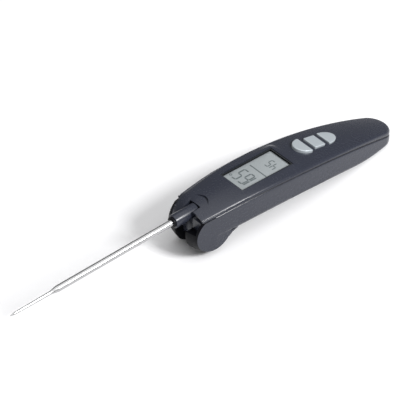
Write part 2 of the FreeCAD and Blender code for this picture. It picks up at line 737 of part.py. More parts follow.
def keypad_and_switches():
    sheet_top = -2.2 - size("key_travel") - 0.15
    membrane = new_body("membrane")
    outline = body_sketch(membrane, "membrane_outline", offset=sheet_top)
    centred_rectangle(outline, "34.0", "14.6")
    pad(membrane, outline, "membrane_pad", "0.6", down=True)
    sub_part(membrane, "keypad_membrane", KEYS_FRAME)
    switches = []
    for i, x in enumerate(KEY_CENTRES.values()):
        stem = cylinder(f"switch_stem_{i}", "1.4", 12, (x, 0, sheet_top - 0.7 - 12), Z_AXIS, KEYS_FRAME)
        above = solid_box(f"switch_room_{i}", (-60, -15, 1.2), (60, 15, 20), BOARD_FRAME)
        foot = KEYS_FRAME.multVec(Vector(x, 0, -4.0))
        local = BOARD_FRAME.inverse().multVec(foot)
        base = solid_box(f"switch_base_{i}", (local.x - 2.6, -2.6, 0.0), (local.x + 2.6, 2.6, 1.3), BOARD_FRAME)
        switches.append(fuse(f"switch_{i}", common(f"switch_plunger_{i}", stem, above), base))
    group = doc.addObject("Part::Compound", "switch_group")
    group.Links = switches
    sub_part(group, "tact_switches")


def circuit_board():
    board = plate("board", "Sizes.board_length", "Sizes.board_width", "Sizes.board_thick", 0.0)
    holes = body_sketch(board, "board_holes", offset=0.0)
    centred_rectangle(holes, "7.0", "3.2", x=-38.6, y=0.0)
    pocket(board, holes, "board_notch", "Sizes.board_thick + 1")
    sub_part(board, "circuit_board", BOARD_FRAME)
    thick = size("board_thick")
    chip = solid_box("chip", (8, -4.5, -thick - 1.2), (17, 4.5, -thick - 0.02))
    sub_part(chip, "controller_chip", BOARD_FRAME)
    can = cylinder("crystal_can", "1.0", 6.0, (19.5, -3.0, -thick - 1.05), Y_AXIS)
    sub_part(can, "crystal", BOARD_FRAME)


# ---------------------------------------------------------------- battery
def battery_pieces():
    door_top = size("door_thick")
    floor = door_top + 1.7
    flange = cylinder("door_flange", "Sizes.door_radius", door_top, (0, 0, 0), Z_AXIS)
    plug = cylinder("door_plug", "Sizes.plug_radius", 1.5, (0, 0, door_top), Z_AXIS)
    coin = solid_box("coin_slot", (-5.5, -0.8, -1), (5.5, 0.8, 0.8))
    sub_part(cut("door", fuse("door_body", flange, plug), coin), "battery_door", DOOR_FRAME)
    seal = doc.addObject("Part::Torus", "door_seal")
    seal.Radius1, seal.Radius2 = size("plug_radius") + 0.4, 0.34
    seal.Placement = Placement(Vector(0, 0, door_top + 0.75), Rotation())
    torus = doc.addObject("Part::Compound", "door_seal_group")
    torus.Links = [seal]
    sub_part(torus, "battery_door_seal", DOOR_FRAME)
    cell = cylinder("cell", "Sizes.cell_radius", size("cell_thick"), (0, 0, floor), Z_AXIS)
    cell = fillet_where("cell_rounded", cell, 0.35, lambda point, edge: abs(point.z - floor) < 0.01)
    sub_part(cell, "coin_cell", DOOR_FRAME)
    top = floor + size("cell_thick")
    tray = cut(
        "carrier",
        cylinder("carrier_outside", "Sizes.cell_radius + 1.1", top + 0.9 - 4.3, (0, 0, 4.3), Z_AXIS),
        cylinder("carrier_inside", "Sizes.cell_radius + 0.15", 10, (0, 0, -2), Z_AXIS),
        solid_box("carrier_mouth", (-14, -4, 0), (-8, 4, 20)),
    )
    sub_part(tray, "battery_carrier", DOOR_FRAME)
    leaf = fuse(
        "minus_leaf",
        solid_box("minus_strip", (-7, -2, top + 0.55), (8.5, 2, top + 0.8)),
        solid_box("minus_dimple", (-6.5, -1.2, top + 0.05), (-4.0, 1.2, top + 0.6)),
    )
    sub_part(leaf, "battery_minus_contact", DOOR_FRAME)
    side = solid_box("plus_strip", (-size("cell_radius") - 0.45, -2.0, floor + 0.4), (-size("cell_radius") - 0.1, 2.0, top + 1.0))
    sub_part(side, "battery_plus_contact", DOOR_FRAME)


# ---------------------------------------------------------------- folding arm
def arm_pieces():
    half, clearance = size("hub_half_width"), size("axle_clearance")
    hub = cylinder("hub_drum", "Sizes.hub_radius", 2 * half, (0, -half, 0), Y_AXIS)
    back, front, high = size("notch_x") - 0.35, size("sleeve_front_x"), size("probe_z")
    sleeve = cylinder("sleeve_rod", "Sizes.sleeve_radius", back - front, (front, 0, high), X_AXIS)
    bore = cylinder("hub_bore", "Sizes.axle_radius + Sizes.axle_clearance", 20, (0, -10, 0), Y_AXIS)
    tube_room = cylinder("sleeve_bore", "Sizes.tube_radius", size("tube_back_x") - front + 1, (front - 1, 0, high), X_AXIS)
    collar_room = cylinder("collar_seat", "Sizes.collar_radius", 1.5, (front - 0.5, 0, high), X_AXIS)
    tools = [bore, tube_room, collar_room]
    for i, (x, z) in enumerate([(9.1, 3.0), (-9.1, -3.0)]):
        tools.append(cylinder(f"detent_notch_{i}", "1.0", 20, (x, -10, z), Y_AXIS))
    arm = cut("arm", fuse("arm_body", hub, sleeve), *tools)
    sub_part(arm, "probe_arm")
    at_probe = Placement(Vector(0, 0, high), Rotation())
    tube, bore_r, collar = size("tube_radius"), size("tube_bore"), size("collar_radius")
    collar_x = size("collar_front_x")
    ring = turned("collar", [(collar_x, tube), (collar_x, collar - 0.35), (collar_x + 0.35, collar), (front + 1.0, collar), (front + 1.0, tube)])
    sub_part(ring, "probe_collar", at_probe)
    tube_x, tube_back = size("tube_front_x"), size("tube_back_x")
    sub_part(turned("tube", [(tube_x, bore_r), (tube_x, tube), (tube_back, tube), (tube_back, bore_r)]), "probe_tube", at_probe)
    taper, tip_x, point = size("taper_length"), size("tip_x"), size("point_length")
    back_r, front_r = size("tip_radius"), size("tip_front_radius")
    tip_body = turned(
        "tip",
        [(tube_x, 0), (tip_x, 0), (tip_x + 0.15, 0.12), (tip_x + point, front_r), (tube_x - taper, back_r), (tube_x, tube)],
    )
    sub_part(tip_body, "probe_tip", at_probe)
    wires = []
    for i, side in enumerate((-1, 1)):
        wires.append(cylinder(f"couple_wire_{i}", "0.25", tube_back - tube_x - 3.0, (tube_x + 2.0, side * 0.45, high), X_AXIS))
    pair = doc.addObject("Part::Compound", "couple_wires")
    pair.Links = wires
    sub_part(pair, "thermocouple_wires")
    bead = cylinder("bead", "0.8", 1.6, (tube_x + 0.3, 0, high), X_AXIS)
    sub_part(bead, "thermocouple_bead")


def pivot_pieces():
    half = size("axle_half_length")
    axle = new_body("axle")
    circle = body_sketch(axle, "axle_circle", role="XZ_Plane", offset=-half)
    circle.addGeometry(Part.Circle(Vector(), Z_AXIS, 2.0), False)
    radius = circle.addConstraint(Sketcher.Constraint("Radius", 0, 2.0))
    circle.addConstraint(Sketcher.Constraint("Coincident", 0, 3, -1, 1))
    circle.setExpression(f"Constraints[{radius}]", "Sizes.axle_radius")
    pad(axle, circle, "axle_pad", "2 * Sizes.axle_half_length")
    sub_part(axle, "fold_axle")
    washers, seals = [], []
    slot, hub = size("slot_half_width"), size("hub_half_width")
    for side in (-1, 1):
        low = hub + 0.06 if side > 0 else -slot
        outer = cylinder(f"washer_outer_{side + 1}", "4.2", slot - hub - 0.06, (0, low, 0), Y_AXIS)
        inner = cylinder(f"washer_inner_{side + 1}", "Sizes.axle_radius + 0.05", 20, (0, -10, 0), Y_AXIS)
        washers.append(cut(f"washer_{side + 1}", outer, inner))
        seal = doc.addObject("Part::Torus", f"seal_{side + 1}")
        seal.Radius1, seal.Radius2 = 5.3, 0.5
        seal.Placement = Placement(Vector(0, side * (slot + 0.02), 0), Rotation(X_AXIS, 90))
        seals.append(seal)
    for label, members in (("pivot_washers", washers), ("pivot_seals", seals)):
        group = doc.addObject("Part::Compound", label + "_group")
        group.Links = members
        sub_part(group, label)
    spring = fuse(
        "detent_leaf_solid",
        solid_box("detent_leaf", (10.2, -2.6, -1.8), (10.6, 2.6, 7.8)),
        cylinder("detent_nose", "0.7", 5.2, (9.95, -2.6, 3.0), Y_AXIS),
    )
    sub_part(spring, "detent_spring")


lower_housing()
top_cover()
housing_gasket()
housing_screws()
display_pieces()
key_caps()
keypad_and_switches()
circuit_board()
battery_pieces()
arm_pieces()
pivot_pieces()
doc.recompute()

# ---------------------------------------------------------------- checks and export
for obj in doc.Objects:
    if "Invalid" in obj.State or "Error" in obj.State:
        raise RuntimeError(f"{obj.Name} ({obj.Label}) is {obj.State}")
for piece in sub_parts:
    shape = piece.Shape
    if shape.isNull() or not shape.isValid() or shape.Volume < 0.05:
        raise RuntimeError(f"{piece.Label} has no sound shape")
    shape.exportStep(f"parts/{piece.Label}.step")
    box = shape.optimalBoundingBox(False)
    print(f"{piece.Label:24s} solids {len(shape.Solids)} volume {shape.Volume:10.2f}  "
          f"x {box.XMin:7.2f} {box.XMax:7.2f}  y {box.YMin:7.2f} {box.YMax:7.2f}  z {box.ZMin:7.2f} {box.ZMax:7.2f}")
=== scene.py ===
import json
import math

import bmesh
import bpy
import numpy as np
from bpy.props import FloatProperty, FloatVectorProperty, PointerProperty
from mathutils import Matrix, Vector


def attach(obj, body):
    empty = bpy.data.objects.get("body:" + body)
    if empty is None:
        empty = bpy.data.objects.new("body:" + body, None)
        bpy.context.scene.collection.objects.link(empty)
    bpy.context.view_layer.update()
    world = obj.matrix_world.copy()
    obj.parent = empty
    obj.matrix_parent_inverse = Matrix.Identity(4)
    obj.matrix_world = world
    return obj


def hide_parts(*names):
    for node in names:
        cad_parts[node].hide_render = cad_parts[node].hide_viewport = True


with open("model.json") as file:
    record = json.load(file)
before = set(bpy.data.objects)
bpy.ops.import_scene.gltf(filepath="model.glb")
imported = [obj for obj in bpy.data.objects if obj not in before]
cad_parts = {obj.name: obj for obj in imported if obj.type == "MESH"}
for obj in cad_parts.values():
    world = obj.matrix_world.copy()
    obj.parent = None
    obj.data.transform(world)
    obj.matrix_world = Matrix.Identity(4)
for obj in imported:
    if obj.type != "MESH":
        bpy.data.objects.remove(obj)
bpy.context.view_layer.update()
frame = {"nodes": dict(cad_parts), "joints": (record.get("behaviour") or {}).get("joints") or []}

bl_info = {
    "name": "Folding Probe Thermometer",
    "version": (1, 0, 0),
    "blender": (4, 5, 0),
    "location": "3D View > Sidebar > Thermometer",
    "description": "Visible shells, keys, display and probe of a folding cooking thermometer",
    "category": "Add Mesh",
}

# Shapes are worked out in millimetres about the fold axis: -X along the open probe,
# +X towards the tail and +Z up through the display. PIVOT puts them in the row frame.
MM = 0.001
FOLD = next(joint for joint in frame["joints"] if joint["name"] == "probe_fold")
PIVOT = np.array(FOLD["pos_m"]) / MM

HALF_WIDTH, WIDEST_X, SIDE_BOW = 15.1, 49.0, 518.0
TAIL_END_X = 135.0
SEAM_TOP_X, SEAM_TOP_Z, SEAM_BOW = 18.0, 11.2, 331.6
CROWN_HEIGHT, CROWN_EDGE = 3.4, 1.6
SEAM_GAP = 0.6
NECK_X, NECK_Z, UNDER_BOW = 20.0, -4.7, 390.0
TURN_X, FLAT_X = 100.0, 124.0
DRUM_MID, DRUM_SIDE, DRUM_HALF = 14.0, 11.5, 12.8
SLOT_HALF, CHEEK_Y = 4.05, 10.3
FACE_X, FACE_Z = -8.7, 2.8
COVER_FRONT_X, NOTCH_X = -8.4, -3.2
NOSE_X, NOSE_Z = 0.6, 0.9
NECK_BLEND = 8.0
DOOR_RADIUS, SINK_RADIUS = 11.42, 2.3
SCREWS = ((15.5, -9.2), (15.5, 9.2), (112.0, -6.6), (112.0, 6.6))
PROBE_Z = 10.0
DISPLAY_X, DISPLAY_Z, DISPLAY_TILT = 39.7, 12.8, 2.3
WINDOW_LENGTH, WINDOW_WIDTH = 36.4, 17.6
KEYS_X, KEYS_Z, KEYS_TILT = 81.3, 8.5, 12.7
KEY_GAP = 0.25
DOOR_X, DOOR_TILT = 38.0, 2.4


# ------------------------------------------------------------------ outer surfaces
def side_width(x):
    """Half the handle's width at x: one long arc, widest at WIDEST_X."""
    return HALF_WIDTH - SIDE_BOW + np.sqrt(SIDE_BOW**2 - (x - WIDEST_X) ** 2)


def seam_height(x):
    """Height of the seam between the shells: one long arc, highest at SEAM_TOP_X."""
    return SEAM_TOP_Z - SEAM_BOW + np.sqrt(SEAM_BOW**2 - (x - SEAM_TOP_X) ** 2)


def under_height(x):
    """Height of the underside: level, then an arc downwards, then levelling out."""
    run = np.clip(x, NECK_X, TURN_X) - NECK_X
    past = np.clip(x, TURN_X, FLAT_X) - TURN_X
    slope = (TURN_X - NECK_X) / UNDER_BOW
    drop = UNDER_BOW - np.sqrt(UNDER_BOW**2 - run**2)
    return NECK_Z - drop - slope * past + slope * past**2 / (2 * (FLAT_X - TURN_X))


CROWN_BOW = (HALF_WIDTH**2 + (CROWN_HEIGHT - CROWN_EDGE) ** 2) / (2 * (CROWN_HEIGHT - CROWN_EDGE))


def crown_height(x, y):
    """Top of the cover: the seam's arc raised by the crown, less the crown's arc across."""
    return seam_height(x) + CROWN_HEIGHT - CROWN_BOW + np.sqrt(CROWN_BOW**2 - y**2)


_centre_y = SIDE_BOW - HALF_WIDTH
_span = TAIL_END_X - WIDEST_X
TAIL_RADIUS = (SIDE_BOW**2 - _centre_y**2 - _span**2) / (2 * (SIDE_BOW - _span))
TAIL_X = TAIL_END_X - TAIL_RADIUS
TAIL_TURN = math.atan2(_centre_y, TAIL_X - WIDEST_X)
JOIN_X = WIDEST_X + SIDE_BOW * math.cos(TAIL_TURN)


def smooth_step(t):
    """0 below 0, 1 above 1, and a smooth rise between."""
    t = np.clip(t, 0, 1)
    return t * t * (3 - 2 * t)


def rim_line(xs, turns):
    """The handle's outline from above on the +Y side: the side arc at each x, then the
    tail's arc at each angle from its point. Gives points, and directions out of it that
    lean from straight across, at the front, to square to the outline at the tail."""
    xs, turns = np.asarray(xs, float), np.asarray(turns, float)
    side = np.stack([xs, side_width(xs)], 1)
    lean = smooth_step((xs - 98.0) / (JOIN_X - 98.0)) * (xs - WIDEST_X) / SIDE_BOW
    side_out = np.stack([lean, np.sqrt(1 - lean**2)], 1)
    tail_out = np.stack([np.cos(turns), np.sin(turns)], 1)
    tail = np.array([TAIL_X, 0.0]) + TAIL_RADIUS * tail_out
    return np.concatenate([side, tail]), np.concatenate([side_out, tail_out])


def tail_turns(count, *extra):
    """Angles round the tail from its join with the sides to its point."""
    even = TAIL_TURN * (1 - np.arange(1, count + 1) / count)
    return np.sort(np.concatenate([even, np.array(extra, float)]))[::-1]


# ------------------------------------------------------------------ meshes
ACROSS = np.array([1.0, -1.0, 1.0])  # mirrors a point in Y
SHARP = 38.0  # degrees between faces from which an edge is sharp


def mirrored(half, far=None):
    """A grid whose first column is the middle line, after its mirror image in Y; far is
    the +Y half where that is another shape."""
    return np.concatenate([half[:, :0:-1] * ACROSS, half if far is None else far], 1)


def applied(piece):
    """The piece's mesh with its modifiers worked in, in place of the one it had."""
    graph = bpy.context.evaluated_depsgraph_get()
    piece.data = bpy.data.meshes.new_from_object(piece.evaluated_get(graph))
    piece.modifiers.clear()
    return piece.data


def tilted(points, x, z, tilt):
    """Points of a piece's own frame, leaning down to the tail, in the fold frame."""
    angle = math.radians(tilt)
    u, v, w = points[..., 0], points[..., 1], points[..., 2]
    c, s = math.cos(angle), math.sin(angle)
    return np.stack([x + u * c + w * s, v, z - u * s + w * c], -1)


def grid_faces(rows, cols, first):
    """Four corners of each cell of a grid of points, numbered from first."""
    index = first + np.arange(rows * cols).reshape(rows, cols)
    corners = [index[:-1, :-1], index[:-1, 1:], index[1:, 1:], index[1:, :-1]]
    return np.stack(corners, -1)


def build(name, grids, body, finish, stands_for=(), closed=True, sharp=SHARP,
          flip=False, merge=0.003, second=None):
    """One piece from grids of points, each with a mask of the cells that it keeps; second
    is another finish and a mask of the first grid's cells that take it."""
    points, faces, count = [], [], 0
    for grid in grids:
        grid, keep = grid if isinstance(grid, tuple) else (grid, None)
        rows, cols = grid.shape[:2]
        cells = grid_faces(rows, cols, count)
        faces.append(cells.reshape(-1, 4) if keep is None else cells[keep])
        points.append(grid.reshape(-1, 3))
        count += rows * cols
    points = (np.concatenate(points) + PIVOT) * MM
    faces = np.concatenate(faces)
    if flip:
        faces = faces[:, ::-1]
    mesh = bpy.data.meshes.new(name)
    mesh.from_pydata(points.tolist(), [], faces.tolist())
    mesh.materials.append(finish)
    if second:
        mesh.materials.append(second[0])
        mesh.polygons.foreach_set("material_index", second[1].astype(np.int32).ravel())
    work = bmesh.new()
    work.from_mesh(mesh)
    bmesh.ops.remove_doubles(work, verts=work.verts, dist=merge * MM)
    bmesh.ops.dissolve_degenerate(work, edges=work.edges, dist=0.002 * MM)
    loose = [v for v in work.verts if not v.link_faces]
    bmesh.ops.delete(work, geom=loose, context="VERTS")
    if closed:
        bmesh.ops.recalc_face_normals(work, faces=work.faces)
    work.to_mesh(mesh)
    work.free()
    mesh.shade_smooth()
    mesh.set_sharp_from_angle(angle=math.radians(sharp))
    piece = bpy.data.objects.new(name, mesh)
    bpy.context.scene.collection.objects.link(piece)
    if body:
        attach(piece, body)
    if stands_for:
        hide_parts(*stands_for)
    return piece


def thicken(piece, wall):
    """Gives an open shell its wall, inwards from the outer surface."""
    solid = piece.modifiers.new("wall", "SOLIDIFY")
    solid.thickness = wall * MM
    solid.offset = -1.0
    solid.use_rim = True
    applied(piece).shade_smooth()
    piece.data.set_sharp_from_angle(angle=math.radians(SHARP))


def drill(piece, grids):
    """Cuts closed tools out of a walled piece and leaves the result as its own mesh."""
    tool = build("drill", grids, None, piece.data.materials[0])
    hole = piece.modifiers.new("holes", "BOOLEAN")
    hole.operation, hole.solver, hole.object = "DIFFERENCE", "EXACT", tool
    bpy.context.view_layer.update()
    applied(piece).set_sharp_from_angle(angle=math.radians(SHARP))
    bpy.data.objects.remove(tool)


def upright(profile, x, y, steps=48):
    """A profile of (height, radius) points spun about an upright line at x, y."""
    ring = turned(profile, steps)
    return np.stack([ring[..., 1] + x, ring[..., 2] + y, ring[..., 0]], -1)


def turned(profile, steps=72):
    """A profile of (along, radius) points spun about the local X axis, closed at its ends."""
    profile = np.asarray(profile, float)
    angle = np.linspace(0, 2 * math.pi, steps + 1)
    along, radius = profile[:, 0][:, None], profile[:, 1][:, None]
    return np.stack([along + 0 * angle, radius * np.cos(angle), radius * np.sin(angle)], -1)


# ------------------------------------------------------------------ finishes
class Flow:
    """A node socket of one finish, with the arithmetic that the finishes use."""

    def __init__(self, tree, socket):
        self.tree, self.socket = tree, socket

    def math(self, operation, *values, clamp=False):
        settings = {"operation": operation, "use_clamp": clamp}
        node = add_node(self.tree, "ShaderNodeMath", settings, dict(enumerate(values)))
        return Flow(self.tree, node.outputs[0])

    def __add__(self, other):
        return self.math("ADD", self, other)

    __radd__ = __add__

    def __mul__(self, other):
        return self.math("MULTIPLY", self, other)

    __rmul__ = __mul__

    def __sub__(self, other):
        return self.math("SUBTRACT", self, other)

    def __rsub__(self, other):
        return self.math("SUBTRACT", other, self)

    def __truediv__(self, other):
        return self.math("DIVIDE", self, other)

    def clamped(self):
        return self.math("ADD", self, 0.0, clamp=True)

    def size(self):
        return self.math("ABSOLUTE", self)


def put(tree, target, value):
    if isinstance(value, Flow):
        tree.links.new(value.socket, target)
    elif isinstance(value, bpy.types.NodeSocket):
        tree.links.new(value, target)
    else:
        target.default_value = value


def add_node(tree, kind, settings=None, values=None):
    """Adds a node: its settings first, then its sockets."""
    node = tree.nodes.new(kind)
    for key, value in (settings or {}).items():
        setattr(node, key, value)
    for key, value in (values or {}).items():
        put(tree, node.inputs[key], value)
    return node


class Finish:
    """A material in the making, with its tree, its shader and its place on the piece."""

    def __init__(self, name, **constants):
        self.material = bpy.data.materials.new(name)
        self.material.use_nodes = True
        self.tree = self.material.node_tree
        self.shader = next(n for n in self.tree.nodes if n.type == "BSDF_PRINCIPLED")
        self.output = next(n for n in self.tree.nodes if n.type == "OUTPUT_MATERIAL")
        for key, value in constants.items():
            self.shader.inputs[key.replace("_", " ")].default_value = value
        place = add_node(self.tree, "ShaderNodeTexCoord")
        self.place = Flow(self.tree, place.outputs["Object"])

    def flow(self, kind, settings=None, values=None, out=0):
        return Flow(self.tree, add_node(self.tree, kind, settings, values).outputs[out])

    def axes(self):
        split = add_node(self.tree, "ShaderNodeSeparateXYZ", values={0: self.place})
        return [Flow(self.tree, o) for o in split.outputs]

    def noise(self, scale, detail=2.0, stretch=(1, 1, 1)):
        where = self.flow("ShaderNodeMapping", values={"Vector": self.place, "Scale": stretch})
        values = {"Vector": where, "Scale": scale, "Detail": detail}
        return self.flow("ShaderNodeTexNoise", values=values)

    def blend(self, factor, low, high):
        """A colour between two, by a factor."""
        settings = {"data_type": "RGBA"}
        node = add_node(self.tree, "ShaderNodeMix", settings)
        put(self.tree, node.inputs["Factor"], factor)
        colours = [s for s in node.inputs if s.type == "RGBA"]
        put(self.tree, colours[0], low)
        put(self.tree, colours[1], high)
        return Flow(self.tree, next(s for s in node.outputs if s.type == "RGBA"))

    def varied(self, colour, spread, factor):
        """A colour a little darker and lighter over the surface."""
        low = tuple(c * (1 - spread) for c in colour[:3]) + (1.0,)
        high = tuple(c * (1 + spread) for c in colour[:3]) + (1.0,)
        self.set("Base Color", self.blend(factor, low, high))

    def set(self, socket, value):
        put(self.tree, self.shader.inputs[socket], value)

    def bump(self, height, strength, distance):
        values = {"Height": height, "Strength": strength, "Distance": distance * MM}
        self.set("Normal", self.flow("ShaderNodeBump", values=values))


def moulded(name, colour, roughness, grain, coat=0.0, specular=0.38):
    """Moulded plastic or rubber: faint flow marks, a fine spark grain and soft scuffs."""
    finish = Finish(name, Coat_Weight=coat, Coat_Roughness=0.12)
    finish.shader.inputs["Specular IOR Level"].default_value = specular
    marks = finish.noise(60.0, 3.0, (0.4, 1.0, 1.0))
    finish.varied(colour, 0.08, marks)
    scuffs = finish.noise(700.0, 2.0)
    finish.set("Roughness", roughness + (scuffs - 0.5) * 0.12 + (marks - 0.5) * 0.08)
    finish.bump(finish.noise(2600.0, 2.0), grain, 0.02)
    return finish.material


def metal(name, colour, roughness, stretch, depth=0.25):
    """Drawn or brushed metal: fine lines stretched along the way it was worked."""
    finish = Finish(name, Metallic=1.0)
    lines = finish.noise(1500.0, 3.0, stretch)
    finish.varied(colour, 0.07, finish.noise(180.0, 2.0))
    finish.set("Roughness", roughness + (lines - 0.5) * 0.18)
    finish.bump(lines, depth, 0.01)
    return finish.material


def key_finish(colour, roughness):
    """Silver lacquer on moulded keys: fine metal flake under a satin coat."""
    finish = Finish("silver_lacquer", Metallic=0.35, Coat_Roughness=0.25)
    flake = finish.noise(5200.0, 1.0)
    cloud = finish.noise(240.0, 2.0)
    finish.varied(colour, 0.05, 0.6 * flake + 0.4 * cloud)
    finish.set("Roughness", roughness + (flake - 0.5) * 0.16)
    finish.set("Coat Weight", 0.25 + (cloud - 0.5) * 0.1)
    finish.bump(flake, 0.12, 0.01)
    return finish.material


def panel_finish(colour):
    """Liquid crystal glass: grey-green, a little paler to the rear, with a fine haze."""
    finish = Finish("liquid_crystal", Specular_IOR_Level=0.3)
    x = finish.axes()[0]
    start = (PIVOT[0] + DISPLAY_X - WINDOW_LENGTH / 2) * MM
    along = ((x - start) / (WINDOW_LENGTH * MM)).clamped()
    haze = finish.noise(900.0, 2.0)
    finish.varied(colour, 0.07, (0.7 * along + 0.3 * haze).clamped())
    finish.set("Roughness", 0.4 + (haze - 0.5) * 0.1)
    return finish.material


def window_finish(border_and_shade_colour):
    """Clear window with a dark border on its back, partly printed border and partly painted shade of the
    recess wall beside it; the rest lets the panel show, with the reflection that clear plastic has."""
    finish = Finish("window_plastic", Roughness=0.06, Base_Color=tuple(border_and_shade_colour))
    x, y, _ = finish.axes()
    mid_x = (PIVOT[0] + DISPLAY_X) * MM
    in_x = ((x - mid_x).size() - (WINDOW_LENGTH / 2 - 0.95) * MM) * (8.0 / MM)
    in_y = (y.size() - (WINDOW_WIDTH / 2 - 0.85) * MM) * (8.0 / MM)
    # The border band: print on the window's back together with painted shade of the recess wall.
    border = in_x.math("MAXIMUM", in_x.clamped(), in_y.clamped())
    facing = finish.flow("ShaderNodeLayerWeight", out=1)
    gloss = 0.03 + facing.math("POWER", facing, 5.0) * 0.6
    shown = (border + (1.0 - border) * gloss).clamped()
    clear = add_node(finish.tree, "ShaderNodeBsdfTransparent")
    haze = finish.noise(500.0, 2.0)
    finish.set("Roughness", 0.05 + haze * 0.06)
    mix = add_node(finish.tree, "ShaderNodeMixShader")
    put(finish.tree, mix.inputs[0], shown)
    put(finish.tree, mix.inputs[1], clear.outputs[0])
    put(finish.tree, mix.inputs[2], finish.shader.outputs[0])
    put(finish.tree, finish.output.inputs["Surface"], mix.outputs[0])
    return finish.material


def board_finish():
    """Fibreglass board under solder mask, with its weave and faint tracks."""
    finish = Finish("solder_mask", Coat_Weight=0.3)
    weave = finish.noise(1800.0, 1.0, (1.0, 0.25, 1.0))
    tracks = finish.noise(300.0, 0.0, (0.2, 1.0, 1.0))
    factor = (0.6 * tracks + 0.4 * weave).clamped()
    finish.varied((0.012, 0.075, 0.035, 1.0), 0.35, factor)
    finish.set("Roughness", 0.35 + (weave - 0.5) * 0.2)
    finish.bump(weave, 0.2, 0.02)
    return finish.material


# ------------------------------------------------------------------ settings
def colour(name, words, value):
    return FloatVectorProperty(name=name, description=words, subtype="COLOR", size=4,
                               min=0.0, max=1.0, default=value)


def length(name, words, value):
    return FloatProperty(name=name, description=words, default=value * MM, min=0.0,
                         unit="LENGTH", precision=5)


class ShellSettings(bpy.types.PropertyGroup):
    """The two shells and the head."""

    tone: colour("Shell colour", "Charcoal plastic of both shells", (0.022, 0.025, 0.037, 1.0))
    gloss: FloatProperty(name="Roughness", description="Roughness of the shells",
                         default=0.27, min=0.0, max=1.0, subtype="FACTOR")
    rim: length("Rim rounding", "Rounding along the cover's edge", 1.3)
    sole: length("Sole rounding", "Rounding along the lower edges", 3.0)
    wall: length("Wall", "Wall of the visible shells", 1.15)
    crescent: length("Crescent depth", "Depth of the crescent groove", 0.9)


class KeySettings(bpy.types.PropertyGroup):
    """The three keys."""

    tone: colour("Key colour", "Silver lacquer of the keys", (0.42, 0.46, 0.49, 1.0))
    rise: length("Rise", "How far the keys stand proud", 0.9)
    rounding: length("Rounding", "Rounding of the keys' edges", 0.45)


class DisplaySettings(bpy.types.PropertyGroup):
    """The display and its window."""

    tone: colour("Panel colour", "Liquid crystal panel", (0.30, 0.325, 0.335, 1.0))
    ink: colour("Segment colour", "Segments that are switched on", (0.11, 0.13, 0.135, 1.0))
    # The border colour is print and painted shade of the recess wall in one band.
    border: colour("Border colour", "Printed border of the window", (0.02, 0.022, 0.025, 1.0))


class ProbeSettings(bpy.types.PropertyGroup):
    """The folding arm and its probe."""

    tone: colour("Steel colour", "Stainless steel of the probe", (0.46, 0.46, 0.465, 1.0))
    stem: length("Stem radius", "Radius of the probe's thick tube", 1.85)
    sleeve: length("Sleeve radius", "Radius of the plastic sleeve", 3.7)


class StageSettings(bpy.types.PropertyGroup):
    """Floor, lights and camera."""

    floor: colour("Floor colour", "Pale floor", (0.86, 0.86, 0.87, 1.0))
    focal: FloatProperty(name="Focal length", description="Focal length in millimetres",
                         default=256.5, min=1.0)
    distance: FloatProperty(name="Distance", description="Camera from the display",
                            default=1.5, min=0.1, unit="LENGTH")


# Very dark tone of the collar's plastic; the same finish is painted on the head's slot face and drum as
# painted shade.
COLLAR_AND_SHADE_TONE = (0.004, 0.004, 0.006, 1.0)
RUBBER_TONE = (0.012, 0.012, 0.014, 1.0)


def settings(name):
    return getattr(bpy.context.scene, "thermometer_" + name)


def finish_of(name, maker, *values):
    """A finish by name, made the first time that it is asked for."""
    return bpy.data.materials.get(name) or maker(*values)


def shell_finish():
    shell = settings("shell")
    return finish_of("charcoal_plastic", moulded, "charcoal_plastic", shell.tone, shell.gloss,
                     0.10, 0.0)


# The collar's own plastic, also used as painted shade on the head's slot face and drum.
def black_finish():
    return finish_of("collar_plastic", moulded, "collar_plastic", COLLAR_AND_SHADE_TONE, 0.42, 0.1, 0.0, 0.1)


def rubber_finish():
    return finish_of("seal_elastomer", moulded, "seal_elastomer", RUBBER_TONE, 0.7, 0.3)


# ------------------------------------------------------------------ cover
DISPLAY_START, DISPLAY_END = DISPLAY_X - WINDOW_LENGTH / 2, DISPLAY_X + WINDOW_LENGTH / 2
KEY_SHAPES = {
    "front": {"flat": -6.9, "long": 7.9, "half": 6.3, "away": -1},
    "middle": {"flat": 3.85, "long": 7.7, "half": 4.9, "away": 1},
    "rear": {"flat": 6.6, "long": 8.3, "half": 5.3, "away": 1},
}
INSET = 4.0


def along_keys(u):
    """x in the fold frame of a place u along the row of keys."""
    return KEYS_X + u * math.cos(math.radians(KEYS_TILT))


